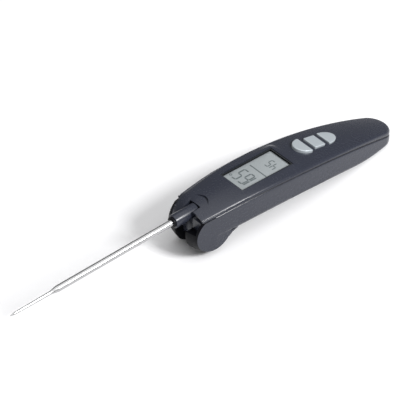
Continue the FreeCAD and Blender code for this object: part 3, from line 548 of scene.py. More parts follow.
def cover_rows():
    """Rows of the cover along its inner columns: x, half width of the opening, whether the
    cells after the row are open, bow of the crescent there and its depth."""
    rows = []

    def add(x, edge, is_open=False, bow=0.0, depth=0.0):
        rows.append((x, edge, is_open, bow, depth))

    def span(x0, x1, e0, e1, count, is_open=False, bow0=0.0, bow1=0.0):
        for t in np.arange(count) / count:
            add(x0 + (x1 - x0) * t, e0 + (e1 - e0) * t, is_open, bow0 + (bow1 - bow0) * t)

    span(COVER_FRONT_X, NOTCH_X, SLOT_HALF, SLOT_HALF, 5, True)
    span(NOTCH_X, NOSE_X, SLOT_HALF, 5.2, 8, False, 0.0, 1.35)
    steps = [(-1.0, 0.0), (-0.85, 0.5), (-0.65, 0.95), (0.0, 1.0), (0.65, 0.95), (0.85, 0.5),
             (1.0, 0.0)]
    for place, depth in steps:
        add(1.2 + 0.1 * place, 5.2, False, 2.1 + 0.62 * place, depth)
    span(2.2, 15.0, 5.2, 8.0, 12, False, 2.6, 0.0)
    span(15.0, DISPLAY_START, 8.0, 8.8, 6)
    span(DISPLAY_START, DISPLAY_END, 8.8, 8.8, 20, True)
    key = KEY_SHAPES
    half = {k: v["half"] + KEY_GAP for k, v in key.items()}
    front_flat, front_long = key["front"]["flat"] + KEY_GAP, key["front"]["long"] + 2 * KEY_GAP
    rear_flat, rear_long = key["rear"]["flat"] - KEY_GAP, key["rear"]["long"] + 2 * KEY_GAP
    middle = key["middle"]["flat"] + KEY_GAP
    span(DISPLAY_END, along_keys(front_flat - front_long), 8.8, 0.0, 8)
    for turn in np.linspace(0, math.pi / 2, 17)[:-1]:
        add(along_keys(front_flat - front_long * math.cos(turn)), half["front"] * math.sin(turn), True)
    span(along_keys(front_flat), along_keys(-middle), half["front"], half["middle"], 2)
    span(along_keys(-middle), along_keys(middle), half["middle"], half["middle"], 6, True)
    span(along_keys(middle), along_keys(rear_flat), half["middle"], half["rear"], 2)
    for turn in np.linspace(math.pi / 2, 0, 17)[:-1]:
        add(along_keys(rear_flat + rear_long * math.cos(turn)), half["rear"] * math.sin(turn), True)
    span(along_keys(rear_flat + rear_long), JOIN_X, 0.0, 3.6, 18)
    return np.array(rows)


def display_plane(x):
    """Height of the window's outer face at x."""
    return DISPLAY_Z - (x - DISPLAY_X) * math.tan(math.radians(DISPLAY_TILT))


def cover_top(x, y):
    """The crowned top, lifted round the display so that its edge is never below the window."""
    top = crown_height(x, y)
    off_x = np.maximum(np.abs(x - DISPLAY_X) - WINDOW_LENGTH / 2, 0)
    off_y = np.maximum(np.abs(y) - WINDOW_WIDTH / 2, 0)
    near = 1 - smooth_step(np.hypot(off_x, off_y) / 4.5)
    return top + near * np.maximum(display_plane(x) + 0.25 - top, 0)


def cover_grid(rim, depth):
    """Half of the cover: from the middle out to the opening's edge, on to a line inside the
    rim, round the rim's quarter circle and down the upright edge to the seam."""
    rows = cover_rows()
    x0, edge, is_open, bow, dip = rows.T
    turns = tail_turns(18)
    line, out = rim_line(x0, turns)
    count = len(line)
    edge = np.concatenate([edge, 3.6 * np.sin(turns) / math.sin(TAIL_TURN)])
    bow = np.concatenate([bow, np.zeros(len(turns))])
    dip = np.concatenate([dip, np.zeros(len(turns))])
    forward = 1 - smooth_step((line[:, 0] - COVER_FRONT_X) / 48.0)
    inset = INSET + 2.6 * forward
    inner = line - inset[:, None] * out
    across, drop = rim + 3.6 * forward**2 + 1.2 * forward, rim + 0.75 * forward
    columns = []
    inner_q = 18
    for q in np.arange(inner_q) / inner_q:
        columns.append(np.stack([inner[:, 0], edge * q], 1))
    for q in np.arange(8) / 8:
        columns.append(np.stack([inner[:, 0], edge + (inner[:, 1] - edge) * q], 1))
    quarter = np.linspace(0, math.pi / 2, 11)
    insets = [inset, (inset + across) / 2]
    insets += [across * (1 - math.sin(turn)) for turn in quarter]
    for inset in insets:
        columns.append(line - inset[:, None] * out)
    plan = np.stack(columns, 1)
    shift = np.clip(1 - (plan[..., 1] / 5.0) ** 2, 0, 1)
    plan[..., 0] += bow[:, None] * shift
    x, y = plan[..., 0], plan[..., 1]
    z = cover_top(x, y) - depth * dip[:, None] * (shift > 0) * np.sqrt(shift)
    z[:, -len(quarter):] -= drop[:, None] * (1 - np.cos(quarter))
    grid = np.stack([x, y, z], -1)
    seam = seam_height(line[:, 0])
    edge_z = grid[:, -1, 2]
    tuck = []
    for inset, level in ((0.0, 0.62), (0.05, 0.42), (0.2, 0.2), (0.42, 0.0)):
        place = line - inset * out
        height = np.minimum(seam + level, edge_z - 0.02 * (1 - level))
        tuck.append(np.column_stack([place, height]))
    grid = np.concatenate([grid, np.stack(tuck, 1)], 1)
    keep = np.ones((count - 1, grid.shape[1] - 1), bool)
    keep[: len(is_open), :inner_q] = (is_open < 0.5)[:, None][: count - 1]
    far, reach = rounded_nose(grid, x0, inner_q, len(tuck))
    both = np.concatenate([keep[:, ::-1], keep], 1)
    return (mirrored(grid, far), both), nose_block(*reach)


def rounded_nose(grid, x0, inner_q, upright):
    """The far side of the cover's front: each column turns over about the nose's axis, at
    its own height above it, and ends where it meets the seam. Also gives the columns'
    places across and their radii."""
    far = grid.copy()
    first = int(np.searchsorted(x0, NOSE_X))
    radius = grid[first, :, 2] - NOSE_Z
    seam = seam_height(-7.5) + 0.02 - NOSE_Z
    front = NOSE_X - np.sqrt(np.maximum(radius**2 - seam**2, 0.01))
    edge = grid.shape[1] - upright - 1
    front[edge + 1:] = front[edge]
    old_x = grid[:first, :, 0]
    share = (front - NOTCH_X) / (COVER_FRONT_X - NOTCH_X)
    new_x = np.where(old_x < NOTCH_X, NOTCH_X + (old_x - NOTCH_X) * share, old_x)
    turned_z = NOSE_Z + np.sqrt(np.maximum(radius**2 - (new_x - NOSE_X) ** 2, 0.0))
    turned_z = np.maximum(turned_z, seam_height(new_x) + 0.02)
    upright_z = np.minimum(grid[:first, edge + 1:, 2], turned_z[:, edge:edge + 1])
    turned_z[:, edge + 1:] = upright_z
    weight = np.clip(np.arange(grid.shape[1]) / inner_q, 0, 1)
    far[:first, :, 2] += weight * (turned_z - grid[:first, :, 2])
    far[:first, :, 1] *= side_width(new_x) / side_width(old_x)
    far[:first, :, 0] = new_x
    return far, (grid[first, inner_q:edge + 1, 1], radius[inner_q:edge + 1])


def nose_block(across, radius):
    """The cover's rounded nose between the slot and the far cheek: the cover's section
    carried round the nose's axis from above down to the foot of the head's flat front."""
    y = np.linspace(SLOT_HALF, CHEEK_Y - 0.1, 9)
    reach = np.interp(y, across, radius) - 0.03
    foot = np.arcsin((FACE_Z + 0.1 - NOSE_Z) / reach)
    t = np.linspace(0, 1, 40)[:, None]
    turn = math.radians(100.0) * (1 - t) + foot * t
    rim = np.stack([NOSE_X - reach * np.cos(turn), y + 0 * turn, NOSE_Z + reach * np.sin(turn)], -1)
    axis = np.array([NOSE_X, 0.0, NOSE_Z])
    sides = []
    for column in (0, -1):
        centre = axis + np.array([0.0, y[column], 0.0])
        sides.append([centre + (rim[:, column] - centre) * q for q in (0.0, 0.4, 0.8)])
    whole = np.concatenate([np.stack(sides[0], 1), rim, np.stack(sides[1][::-1], 1)], 1)
    ends = whole[:1].copy()
    ends[..., 0], ends[..., 2] = NOSE_X, NOSE_Z
    return np.concatenate([ends, whole, ends])


class THERMO_OT_cover(bpy.types.Operator):
    """Crowned top cover with its openings and the crescent groove"""

    bl_idname = "thermo.cover"
    bl_label = "Top Cover"

    def execute(self, context):
        shell = settings("shell")
        grid, nose = cover_grid(shell.rim / MM, shell.crescent / MM)
        piece = build("cover_shell", [grid], "handle", shell_finish(),
                      ("top_cover",), closed=False, flip=True)
        thicken(piece, shell.wall / MM)
        build("cover_nose", [nose], "handle", shell_finish(), ("top_cover",))
        return {"FINISHED"}


# ------------------------------------------------------------------ housing
SOLE_CEILING, TIP_CEILING = -7.65, -8.55
GROOVE_HALF, GROOVE_STEP_X, GROOVE_END_X = 2.4, 99.0, 129.0
RELIEF_START, RELIEF_END, RELIEF_Y = 51.3, 84.0, 14.02
HUB_ROOM_X = 8.14


def relief_height(x):
    """Upper edge of the finger relief, a straight line falling to the tail."""
    return -2.0 - (x - RELIEF_START) * 4.8 / 39.9


def housing_grid(sole):
    """Half of the lower shell: the underside from the middle out, its rounded lower edge,
    and the upright side to the gasket, with the groove and the finger relief let into it."""
    step = 0.002
    xs = np.concatenate([
        np.linspace(0, HUB_ROOM_X, 5), np.linspace(HUB_ROOM_X, RELIEF_START - step, 22)[1:],
        np.linspace(RELIEF_START, 67.5, 9), np.linspace(68.2, RELIEF_END, 9),
        np.linspace(RELIEF_END, GROOVE_STEP_X - step, 9)[1:],
        np.linspace(GROOVE_STEP_X, JOIN_X, 16),
    ])
    end_turn = math.acos((GROOVE_END_X - TAIL_X) / (TAIL_RADIUS - sole))
    turns = tail_turns(18, end_turn, end_turn - 0.001)
    line, out = rim_line(xs, turns)
    inner = line - sole * out
    groove = np.interp(inner[:, 0], [0, HUB_ROOM_X, 60, GROOVE_END_X],
                       [SLOT_HALF, SLOT_HALF, GROOVE_HALF, GROOVE_HALF])
    groove = np.minimum(groove, 0.6 * inner[:, 1])
    ceiling = np.where(inner[:, 0] < GROOVE_STEP_X - step / 2, SOLE_CEILING, TIP_CEILING)
    before_end = np.concatenate([np.ones(len(xs)), turns > end_turn - 0.0005])
    ceiling = np.where((inner[:, 0] > 55) & (before_end > 0), ceiling, -99.0)
    columns, levels = [], []
    under = under_height(inner[:, 0])
    roof = np.maximum(under, ceiling)
    for q in np.linspace(0, 1, 5):
        columns.append(np.stack([inner[:, 0], groove * q], 1))
        levels.append(roof)
    for q in np.linspace(0, 1, 8)[:-1]:
        columns.append(np.stack([inner[:, 0], groove + (inner[:, 1] - groove) * q], 1))
        levels.append(under)
    for turn in np.linspace(0, math.pi / 2, 10):
        place = line - sole * (1 - math.sin(turn)) * out
        columns.append(place)
        levels.append(under_height(place[:, 0]) + sole * (1 - math.cos(turn)))
    low = under_height(line[:, 0]) + sole
    top = seam_height(line[:, 0]) - SEAM_GAP
    split = np.clip(relief_height(line[:, 0]), low + 0.02, top - 0.5)
    for q in (0.5, 1.0):
        columns.append(line)
        levels.append(low + (split - low) * q)
    lower = len(columns)
    for q in np.linspace(0, 1, 6):
        columns.append(line)
        levels.append(split + (top - 0.5 - split) * q)
    for inset, level in ((0.04, 0.32), (0.15, 0.14), (0.32, 0.0)):
        columns.append(line - inset * out)
        levels.append(top - level)
    plan, z = np.stack(columns, 1), np.stack(levels, 1)
    scooped = (line[:, 0] >= RELIEF_START - step / 2) & (line[:, 0] <= RELIEF_END)
    limit = np.where(scooped[:, None], RELIEF_Y, 99.0)
    plan[:, :lower, 1] = np.minimum(plan[:, :lower, 1], limit)
    grid = np.concatenate([plan, z[..., None]], -1)
    keep = np.ones((len(line) - 1, grid.shape[1] - 1), bool)
    keep[:4, :4] = False
    return mirrored(grid), np.concatenate([keep[:, ::-1], keep], 1)


DRUM_BOW = (DRUM_HALF**2 + (DRUM_MID - DRUM_SIDE) ** 2) / (2 * (DRUM_MID - DRUM_SIDE))


def drum_radius(y):
    """Radius of the round head, an arc across the width."""
    return DRUM_MID - DRUM_BOW + np.sqrt(DRUM_BOW**2 - y**2)


def seam_reach(turn):
    """Distance from the axis to the housing's top edge, at an angle up from the front."""
    reach = 9.6 / np.sin(turn)
    for _ in range(6):
        reach = (seam_height(-reach * np.cos(turn)) - SEAM_GAP) / np.sin(turn)
    return reach


def seam_turn(radius):
    """Angle at which a circle about the axis meets the housing's top edge."""
    turn = np.full_like(radius, 0.9)
    for _ in range(12):
        height = seam_height(-radius * np.cos(turn)) - SEAM_GAP
        turn = np.arcsin(np.clip(height / radius, -1, 1))
    return turn


def head_half():
    """One half of the round head beside the slot, as a solid about the fold axis: each row
    is an angle and runs from the axis up the slot's face, out along the crowned drum, over
    the step to the thin cheek and back down the side to the axis. The drum is cut back to
    the flat front above its foot and, at the top, to the seam."""
    recess_y = np.linspace(SLOT_HALF, CHEEK_Y, 9)
    cheek_q = np.linspace(0, 1, 6)
    face_top = math.atan2(seam_height(FACE_X) - SEAM_GAP, -FACE_X)
    foot_in = math.atan2(FACE_Z, -FACE_X)
    back, over = math.radians(-165.0), math.radians(90.0)
    counts = (8, 56, 4, 9, 9, 9)

    def rows_between(stops):
        parts = [np.linspace(a, b, n + 1)[:-1] for a, b, n in zip(stops, stops[1:], counts)]
        return np.concatenate([*parts, [stops[-1]]])

    def drum_columns(y):
        radius = drum_radius(y)
        foot_out = math.asin(FACE_Z / radius)
        turn = rows_between([-math.pi, back, foot_out, foot_in, face_top, over, math.pi])
        reach = np.full_like(turn, radius)
        on_foot = (turn > foot_out) & (turn <= foot_in)
        on_face = (turn > foot_in) & (turn <= face_top)
        on_top = (turn > face_top) & (turn < math.radians(130.0))
        reach[on_foot] = FACE_Z / np.sin(turn[on_foot])
        reach[on_face] = -FACE_X / np.cos(turn[on_face])
        reach[on_top] = seam_reach(turn[on_top])
        return turn, hidden_behind(turn, reach)

    def hidden_behind(turn, reach):
        inside = (np.abs(turn) > math.radians(165.0)) | (turn > math.radians(95.0))
        return np.where(inside, np.minimum(reach, 9.2), reach)

    def cheek_column(q):
        x_side = np.zeros(sum(counts) + 1)
        for _ in range(6):
            y = CHEEK_Y + q * (np.minimum(DRUM_HALF, side_width(x_side)) - CHEEK_Y)
            radius = drum_radius(y)
            meets = seam_turn(radius)
            turn = np.array([
                rows_between([-math.pi, back, math.asin(FACE_Z / r), foot_in, m, over, math.pi])[i]
                for i, (r, m) in enumerate(zip(radius, meets))
            ])
            top = turn > meets + 1e-9
            reach = np.where(top, seam_reach(np.clip(turn, 0.3, math.pi - 0.3)), radius)
            reach = hidden_behind(turn, np.minimum(reach, radius))
            x_side = -reach * np.cos(turn)
        return turn, reach, y

    rows = []
    turn, reach = drum_columns(SLOT_HALF)
    for q in (0.0, 0.35, 0.7):
        rows.append((turn, reach * q, np.full_like(turn, SLOT_HALF)))
    for y in recess_y:
        turn, reach = drum_columns(y)
        rows.append((turn, reach, np.full_like(turn, y)))
    for q in cheek_q:
        rows.append(cheek_column(q))
    turn, reach, _ = rows[-1]
    for q in (0.93, 0.85, 0.7, 0.55, 0.4, 0.25, 0.12, 0.0):
        x = -reach * q * np.cos(turn)
        rows.append((turn, reach * q, np.minimum(DRUM_HALF, side_width(x))))
    turn, reach, y = (np.stack(part, 1) for part in zip(*rows))
    return np.stack([-reach * np.cos(turn), y, reach * np.sin(turn)], -1)


def neck_blend():
    """Concave blend of radius NECK_BLEND between the back of the drum and the level
    underside beside the slot: each section is the arc that touches both."""
    sections = []
    for q in np.linspace(0, 1, 9):
        y = SLOT_HALF + q * (11.9 - SLOT_HALF)
        radius = float(drum_radius(np.array([y]))[0])
        centre_z = NECK_Z - NECK_BLEND
        centre_x = math.sqrt((radius + NECK_BLEND) ** 2 - centre_z**2)
        low = math.atan2(-centre_z, -centre_x)
        turn = np.linspace(low, math.pi / 2, 13)
        x = centre_x + NECK_BLEND * np.cos(turn)
        z = centre_z + NECK_BLEND * np.sin(turn)
        x = np.concatenate([x, [centre_x, 0.75 * x[0]], x[:1]])
        z = np.concatenate([z, [NECK_Z + 0.8, 0.75 * z[0]], z[:1]])
        wide = np.minimum(DRUM_HALF, side_width(x)) - 0.03
        sections.append(np.stack([x, SLOT_HALF + q * (wide - SLOT_HALF), z], -1))
    first, last = (np.tile(row.mean(0), (len(row), 1)) for row in (sections[0], sections[-1]))
    first[:, 1], last[:, 1] = SLOT_HALF, sections[-1][:, 1].mean()
    return np.stack([first, *sections, last])


def slot_wall():
    """The back of the slot, a part cylinder just clear of the hub."""
    turn = np.radians(np.linspace(97, 212, 30))[:, None]
    y = np.array([-SLOT_HALF - 0.3, SLOT_HALF + 0.3])[None, :]
    inside = np.stack([-9.4 * np.cos(turn) + 0 * y, y + 0 * turn, 9.4 * np.sin(turn) + 0 * y], -1)
    outside = np.stack([-10.0 * np.cos(turn) + 0 * y, y + 0 * turn, 10.0 * np.sin(turn) + 0 * y], -1)
    return np.stack([inside[:, 0], inside[:, 1], outside[:, 1], outside[:, 0], inside[:, 0]], 1)


SINK_TOOL = [(-1.0, 0.0), (-1.0, SINK_RADIUS), (3.2, SINK_RADIUS), (3.2, 0.0)]
SINK_WALL = [(0.3, 2.27), (2.6, 2.27), (2.6, 1.2), (3.4, 1.2), (3.4, 3.0), (0.3, 3.0), (0.3, 2.27)]


class THERMO_OT_housing(bpy.types.Operator):
    """Lower shell with the round head, its slot and the probe's groove"""

    bl_idname = "thermo.housing"
    bl_label = "Lower Housing"

    def execute(self, context):
        shell = settings("shell")
        finish = shell_finish()
        piece = build("housing_shell", [housing_grid(shell.sole / MM)], "handle", finish,
                      ("lower_housing",), closed=False)
        thicken(piece, shell.wall / MM)
        half = head_half()
        # Cells of the head that are painted as shade with the collar's dark finish.
        dark = np.zeros((half.shape[0] - 1, half.shape[1] - 1), bool)
        # The slot's face and the drum take the collar's very dark finish as painted shade; the flat front
        # and the outer side do not.
        dark[:, :17] = True
        dark[68:, 3:12] = False
        painted_shade_finish = black_finish()
        for side, name in ((1.0, "head_cheek_far"), (-1.0, "head_cheek_near")):
            build(name, [half * np.array([1.0, side, 1.0])], "handle", finish,
                  ("lower_housing",), sharp=30.0, second=(painted_shade_finish, dark))
        build("slot_back", [slot_wall()], "handle", finish)
        blend = neck_blend()
        sides = [blend, blend * ACROSS]
        build("neck_blend", sides, "handle", finish)
        seat = [(-1.0, 0.0), (-1.0, DOOR_RADIUS), (3.5, DOOR_RADIUS), (3.5, 0.0)]
        seat = upright(seat, 0.0, 0.0, 96)
        tools = [tilted(seat, DOOR_X, float(under_height(np.array(DOOR_X))), DOOR_TILT)]
        sinks = []
        for x, y in SCREWS:
            foot = float(under_height(np.array(x)))
            for profile, pieces in ((SINK_TOOL, tools), (SINK_WALL, sinks)):
                raised = [(foot + level, radius) for level, radius in profile]
                pieces.append(upright(raised, x, y))
        drill(piece, tools)
        build("screw_sinks", sinks, "handle", finish)
        return {"FINISHED"}


class THERMO_OT_gasket(bpy.types.Operator):
    """Rubber gasket that fills the seam between the shells"""

    bl_idname = "thermo.gasket"
    bl_label = "Seam Gasket"

    def execute(self, context):
        line, out = rim_line(np.linspace(-7.5, JOIN_X, 90), tail_turns(24))
        corners = [(0.35, 0.0), (0.35, -SEAM_GAP), (1.45, -SEAM_GAP), (1.45, 0.0), (0.35, 0.0)]
        rings = []
        for inset, level in corners:
            plan = line - inset * out
            rings.append(np.column_stack([plan, seam_height(plan[:, 0]) + level]))
        half = np.stack(rings, 1)
        other = half[::-1] * ACROSS
        strip = np.concatenate([half, other[1:]])
        build("seam_gasket", [strip], "handle", rubber_finish(), ("housing_gasket",))
        return {"FINISHED"}


# ------------------------------------------------------------------ display
def cushion(half_u, half_v, top, bottom, rounding, steps=12):
    """A closed plate in its own frame: a rectangle from above whose upper edge is a quarter
    circle; the grid runs out over the top, round the edge, down and in underneath."""
    quarter = np.linspace(0, math.pi / 2, 5)
    inset = np.concatenate([[rounding], rounding * (1 - np.sin(quarter[1:])), [0.0]])
    height = np.concatenate([[top], top - rounding * (1 - np.cos(quarter[1:])), [bottom]])
    rings = []
    corners = np.array([(1, 1), (-1, 1), (-1, -1), (1, -1), (1, 1)], float)
    path = np.concatenate([
        corners[i] + (corners[i + 1] - corners[i]) * np.linspace(0, 1, steps, endpoint=False)[:, None]
        for i in range(4)
    ] + [corners[:1]])
    for d, z in [(None, top), *zip(inset, height), (None, bottom)]:
        if d is None:
            ring = path * 0.0
        else:
            ring = path * np.array([half_u - d, half_v - d])
        rings.append(np.column_stack([ring, np.full(len(ring), z)]))
    return np.stack(rings, 1)


BARS = {  # two ends of each segment on a glyph one unit wide and two high
    "a": ((0, 2), (1, 2)), "b": ((1, 2), (1, 1)), "c": ((1, 1), (1, 0)), "d": ((0, 0), (1, 0)),
    "e": ((0, 1), (0, 0)), "f": ((0, 2), (0, 1)), "g": ((0, 1), (1, 1)),
}
LIT = {"1": "bc", "4": "fgbc", "5": "afgcd", "6": "afgedc"}


def bar(start, end, thick):
    """One segment: a bar with pointed ends, from above, as a closed low prism."""
    start, end = np.array(start, float), np.array(end, float)
    along = (end - start) / np.hypot(*(end - start))
    across = np.array([-along[1], along[0]]) * thick / 2
    gap = along * thick * 0.62
    start, end = start + gap, end - gap
    tip = along * thick * 0.5
    outline = np.array([start - tip, start - across, end - across, end + tip, end + across,
                        start + across, start - tip])
    low, high = 0.0, 0.05
    middle = (start + end) / 2
    rings = [np.column_stack([outline * 0 + middle, np.full(7, low)]),
             np.column_stack([outline, np.full(7, low)]),
             np.column_stack([outline, np.full(7, high)]),
             np.column_stack([outline * 0 + middle, np.full(7, high)])]
    return np.stack(rings, 1)


def glyph(char, place, width, height, thick):
    """The segments of a digit; its top points to the probe and it reads across the handle."""
    bars = []
    for name in LIT[char]:
        ends = [(x * width, y * height / 2) for x, y in BARS[name]]
        grid = bar(ends[0], ends[1], thick)
        read, rise = grid[..., 0].copy(), grid[..., 1].copy()
        grid[..., 0] = place[0] - rise
        grid[..., 1] = place[1] + read
        bars.append(grid)
    return bars


class THERMO_OT_display(bpy.types.Operator):
    """Liquid crystal panel with its segments, and the window over it"""

    bl_idname = "thermo.display"
    bl_label = "Display"

    def execute(self, context):
        shown = settings("display")
        window = cushion(WINDOW_LENGTH / 2 - 0.05, WINDOW_WIDTH / 2 - 0.05, 0.0, -1.2, 0.2)
        where = (DISPLAY_X, DISPLAY_Z, DISPLAY_TILT)
        build("display_glass", [tilted(window, *where)], "handle",
              finish_of("window_plastic", window_finish, shown.border),
              ("display_window",))
        panel = cushion(19.0, 9.2, -1.3, -3.1, 0.1)
        build("display_panel", [tilted(panel, *where)], "handle",
              finish_of("liquid_crystal", panel_finish, shown.tone), ("lcd_panel",))
        bars = []
        for char, place in (("1", -7.1), ("6", -2.9), ("5", 2.0)):
            bars += glyph(char, (-3.6, place), 3.1, 9.6, 0.85)
        bars += glyph("4", (12.7, -4.2), 2.2, 5.6, 0.6) + glyph("5", (12.7, -0.6), 2.2, 5.6, 0.6)
        rule = bar((0.0, 0.0), (13.4, 0.0), 0.7)
        rule = np.stack([0.9 - rule[..., 1], rule[..., 0] - 6.9, rule[..., 2]], -1)
        ring = turned([(0.0, 0.42), (0.0, 0.85), (0.05, 0.85), (0.05, 0.42), (0.0, 0.42)], 20)
        degree = np.stack([ring[..., 1] - 12.4, ring[..., 2] + 6.6, ring[..., 0]], -1)
        bars += [rule, degree]
        raised = [tilted(grid + np.array([0, 0, -1.3]), *where) for grid in bars]
        ink = finish_of("segment_ink", moulded, "segment_ink", shown.ink, 0.5, 0.02)
        build("display_segments", raised, "handle", ink)
        return {"FINISHED"}


# ------------------------------------------------------------------ keys
def key_outline(shape, steps=30):
    """A key from above: a rectangle, or half an ellipse on a straight edge, with its corners
    eased. Gives points round it and the directions out of it."""
    flat, long, half, away = (shape[k] for k in ("flat", "long", "half", "away"))
    if shape is KEY_SHAPES["middle"]:
        ease = 0.55
        turn = np.linspace(0, math.pi / 2, 7)
        points = []
        for k, (sx, sy) in enumerate(((1, 1), (-1, 1), (-1, -1), (1, -1))):
            a = turn + k * math.pi / 2
            centre = np.array([sx * (long / 2 - ease), sy * (half - ease)])
            points.append(centre + ease * np.stack([np.cos(a), np.sin(a)], 1))
        line = np.concatenate([*points, points[0][:1]])
    else:
        turn = np.linspace(-math.pi / 2, math.pi / 2, 4 * steps)
        bow = np.stack([flat + away * long * np.cos(turn), half * np.sin(turn)], 1)
        back = np.linspace(half, -half, steps)[1:]
        straight = np.stack([np.full_like(back, flat), back], 1)
        line = np.concatenate([bow, straight])
        weights = np.array([1, 2, 3, 2, 1]) / 9.0
        loop = np.concatenate([line[:-1][-2:], line[:-1], line[:-1][:2]])
        eased = sum(w * loop[i:i + len(line) - 1] for i, w in enumerate(weights))
        line = np.concatenate([eased, eased[:1]])
    ahead = np.roll(line[:-1], -1, 0) - np.roll(line[:-1], 1, 0)
    out = np.stack([ahead[:, 1], -ahead[:, 0]], 1)
    out /= np.linalg.norm(out, axis=1)[:, None]
    centre = line.mean(0)
    if np.sum(out[0] * (line[0] - centre)) < 0:
        out = -out
    return line, np.concatenate([out, out[:1]])


def key_grid(shape, rise, rounding):
    """A key: its outline carried up the side, round the edge and over a low crown."""
    line, out = key_outline(shape)
    centre = np.array([(line[:, 0].min() + line[:, 0].max()) / 2, 0.0])
    quarter = np.linspace(0, math.pi / 2, 7)
    rings = [np.column_stack([line * 0 + centre, np.full(len(line), -2.2)]),
             np.column_stack([line, np.full(len(line), -2.2)])]
    for turn in quarter:
        plan = line - rounding * (1 - math.cos(turn)) * out
        rings.append(np.column_stack([plan, np.full(len(line), rise - rounding * (1 - math.sin(turn)))]))
    last = rings[-1][:, :2]
    for q in (0.92, 0.8, 0.6, 0.4, 0.2, 0.0):
        plan = centre + (last - centre) * q
        rings.append(np.column_stack([plan, np.full(len(line), rise + 0.12 * (1 - q**2))]))
    return np.stack(rings, 1)


class THERMO_OT_keys(bpy.types.Operator):
    """Three silver keys in a row"""

    bl_idname = "thermo.keys"
    bl_label = "Keys"

    def execute(self, context):
        keys = settings("keys")
        finish = finish_of("silver_lacquer", key_finish, keys.tone, 0.42)
        for name, shape in KEY_SHAPES.items():
            grid = key_grid(shape, keys.rise / MM, keys.rounding / MM)
            grid = tilted(grid, KEYS_X, KEYS_Z, KEYS_TILT)
            build(f"{name}_key_cap", [grid], f"{name}_button", finish,
                  (f"{name}_button",), sharp=50.0)
        return {"FINISHED"}


# ------------------------------------------------------------------ arm and probe
def rounded_end(x, radius, ease, direction, steps=5):
    """Profile points of a rod's eased end, from its flat face to its side."""
    turn = np.linspace(0, math.pi / 2, steps)
    return [(x + direction * ease * (math.cos(t) - 1), radius - ease + ease * math.sin(t)) for t in turn]


class THERMO_OT_probe(bpy.types.Operator):
    """Folding arm with its sleeve, collar, steel tube and tip"""

    bl_idname = "thermo.probe"
    bl_label = "Arm and Probe"

    def execute(self, context):
        probe = settings("probe")
        stem, sleeve = probe.stem / MM, probe.sleeve / MM
        lift = np.array([0.0, 0.0, PROBE_Z])
        profile = [(-18.8, 0.0), (-18.8, 2.9)]
        profile += rounded_end(-18.8, sleeve, 0.3, -1) + rounded_end(-3.55, sleeve, 0.3, 1)[::-1]
        profile += [(-3.55, 0.0)]
        rod = turned(profile) + lift
        drum = turned([(-3.45, 0.0), *rounded_end(-3.45, 9.0, 0.35, -1),
                       *rounded_end(3.45, 9.0, 0.35, 1)[::-1], (3.45, 0.0)], 120)
        drum = drum[..., [1, 0, 2]]
        build("folding_arm", [rod, drum], "arm", shell_finish(), ("probe_arm",))
        collar = turned([(-19.9, 0.0), (-19.9, stem), *rounded_end(-19.9, 2.9, 0.35, -1),
                         (-17.8, 2.9), (-17.8, 0.0)]) + lift
        build("sleeve_collar", [collar], "arm", black_finish(), ("probe_collar",))
        steel = finish_of("drawn_steel", metal, "drawn_steel", probe.tone, 0.24, (0.06, 1.0, 1.0), 0.18)
        tube = turned([(-4.5, 0.0), (-4.5, stem), (-60.0, stem), (-95.0, stem), (-95.05, 0.0)]) + lift
        build("probe_stem", [tube], "arm", steel, ("probe_tube",))
        fall = np.linspace(0, 1, 7)
        taper = [(-95.0 - 6.2 * t, stem + (0.95 - stem) * smooth_step(t)) for t in fall]
        point = [(-123.0, 0.7), (-124.2, 0.5), (-125.3, 0.28), (-126.0, 0.14), (-126.2, 0.05),
                 (-126.2, 0.0)]
        tip = turned([(-95.0, 0.0), *taper, (-112.0, 0.83), *point], 48) + lift
        build("probe_point", [tip], "arm", steel, ("probe_tip",))
        return {"FINISHED"}


# ------------------------------------------------------------------ carried-over pieces
class THERMO_OT_inner(bpy.types.Operator):
    """Finishes for the pieces that keep the shape they came with"""

    bl_idname = "thermo.inner"
    bl_label = "Inner Pieces"

    def execute(self, context):
        inner = moulded("inner_plastic", (0.03, 0.03, 0.033, 1.0), 0.5, 0.15)
        chip = moulded("chip_resin", (0.015, 0.015, 0.016, 1.0), 0.55, 0.2)
        cell = metal("cell_nickel", (0.62, 0.61, 0.58, 1.0), 0.3, (1.0, 1.0, 0.2))
        gilt = metal("contact_bronze", (0.70, 0.52, 0.26, 1.0), 0.32, (1.0, 0.1, 1.0))
        zinc = metal("zinc_plate", (0.55, 0.55, 0.56, 1.0), 0.34, (1.0, 1.0, 0.3))
        wanted = {
            shell_finish(): ["battery_door"],
            rubber_finish(): ["lcd_connector_strips", "keypad_membrane", "battery_door_seal", "pivot_seals"],
            inner: ["lcd_holder", "tact_switches", "battery_carrier", "pivot_washers"],
            chip: ["controller_chip"],
            cell: ["coin_cell", "crystal"],
            gilt: ["battery_minus_contact", "battery_plus_contact", "thermocouple_wires",
                   "thermocouple_bead"],
            zinc: ["fold_axle", "housing_screws", "detent_spring"],
            board_finish(): ["circuit_board"],
        }
        for finish, names in wanted.items():
            for name in names:
                node = frame["nodes"][name]
                node.data.materials.clear()
                node.data.materials.append(finish)
        return {"FINISHED"}


# ------------------------------------------------------------------ stage
def area_light(name, place, target, side, power):
    data = bpy.data.lights.new(name, "AREA")
    data.shape, data.size, data.size_y, data.energy = "RECTANGLE", side, side, power
    light = bpy.data.objects.new(name, data)
    bpy.context.scene.collection.objects.link(light)
    light.location = place
    light.rotation_euler = (Vector(target) - Vector(place)).to_track_quat("-Z", "Y").to_euler()


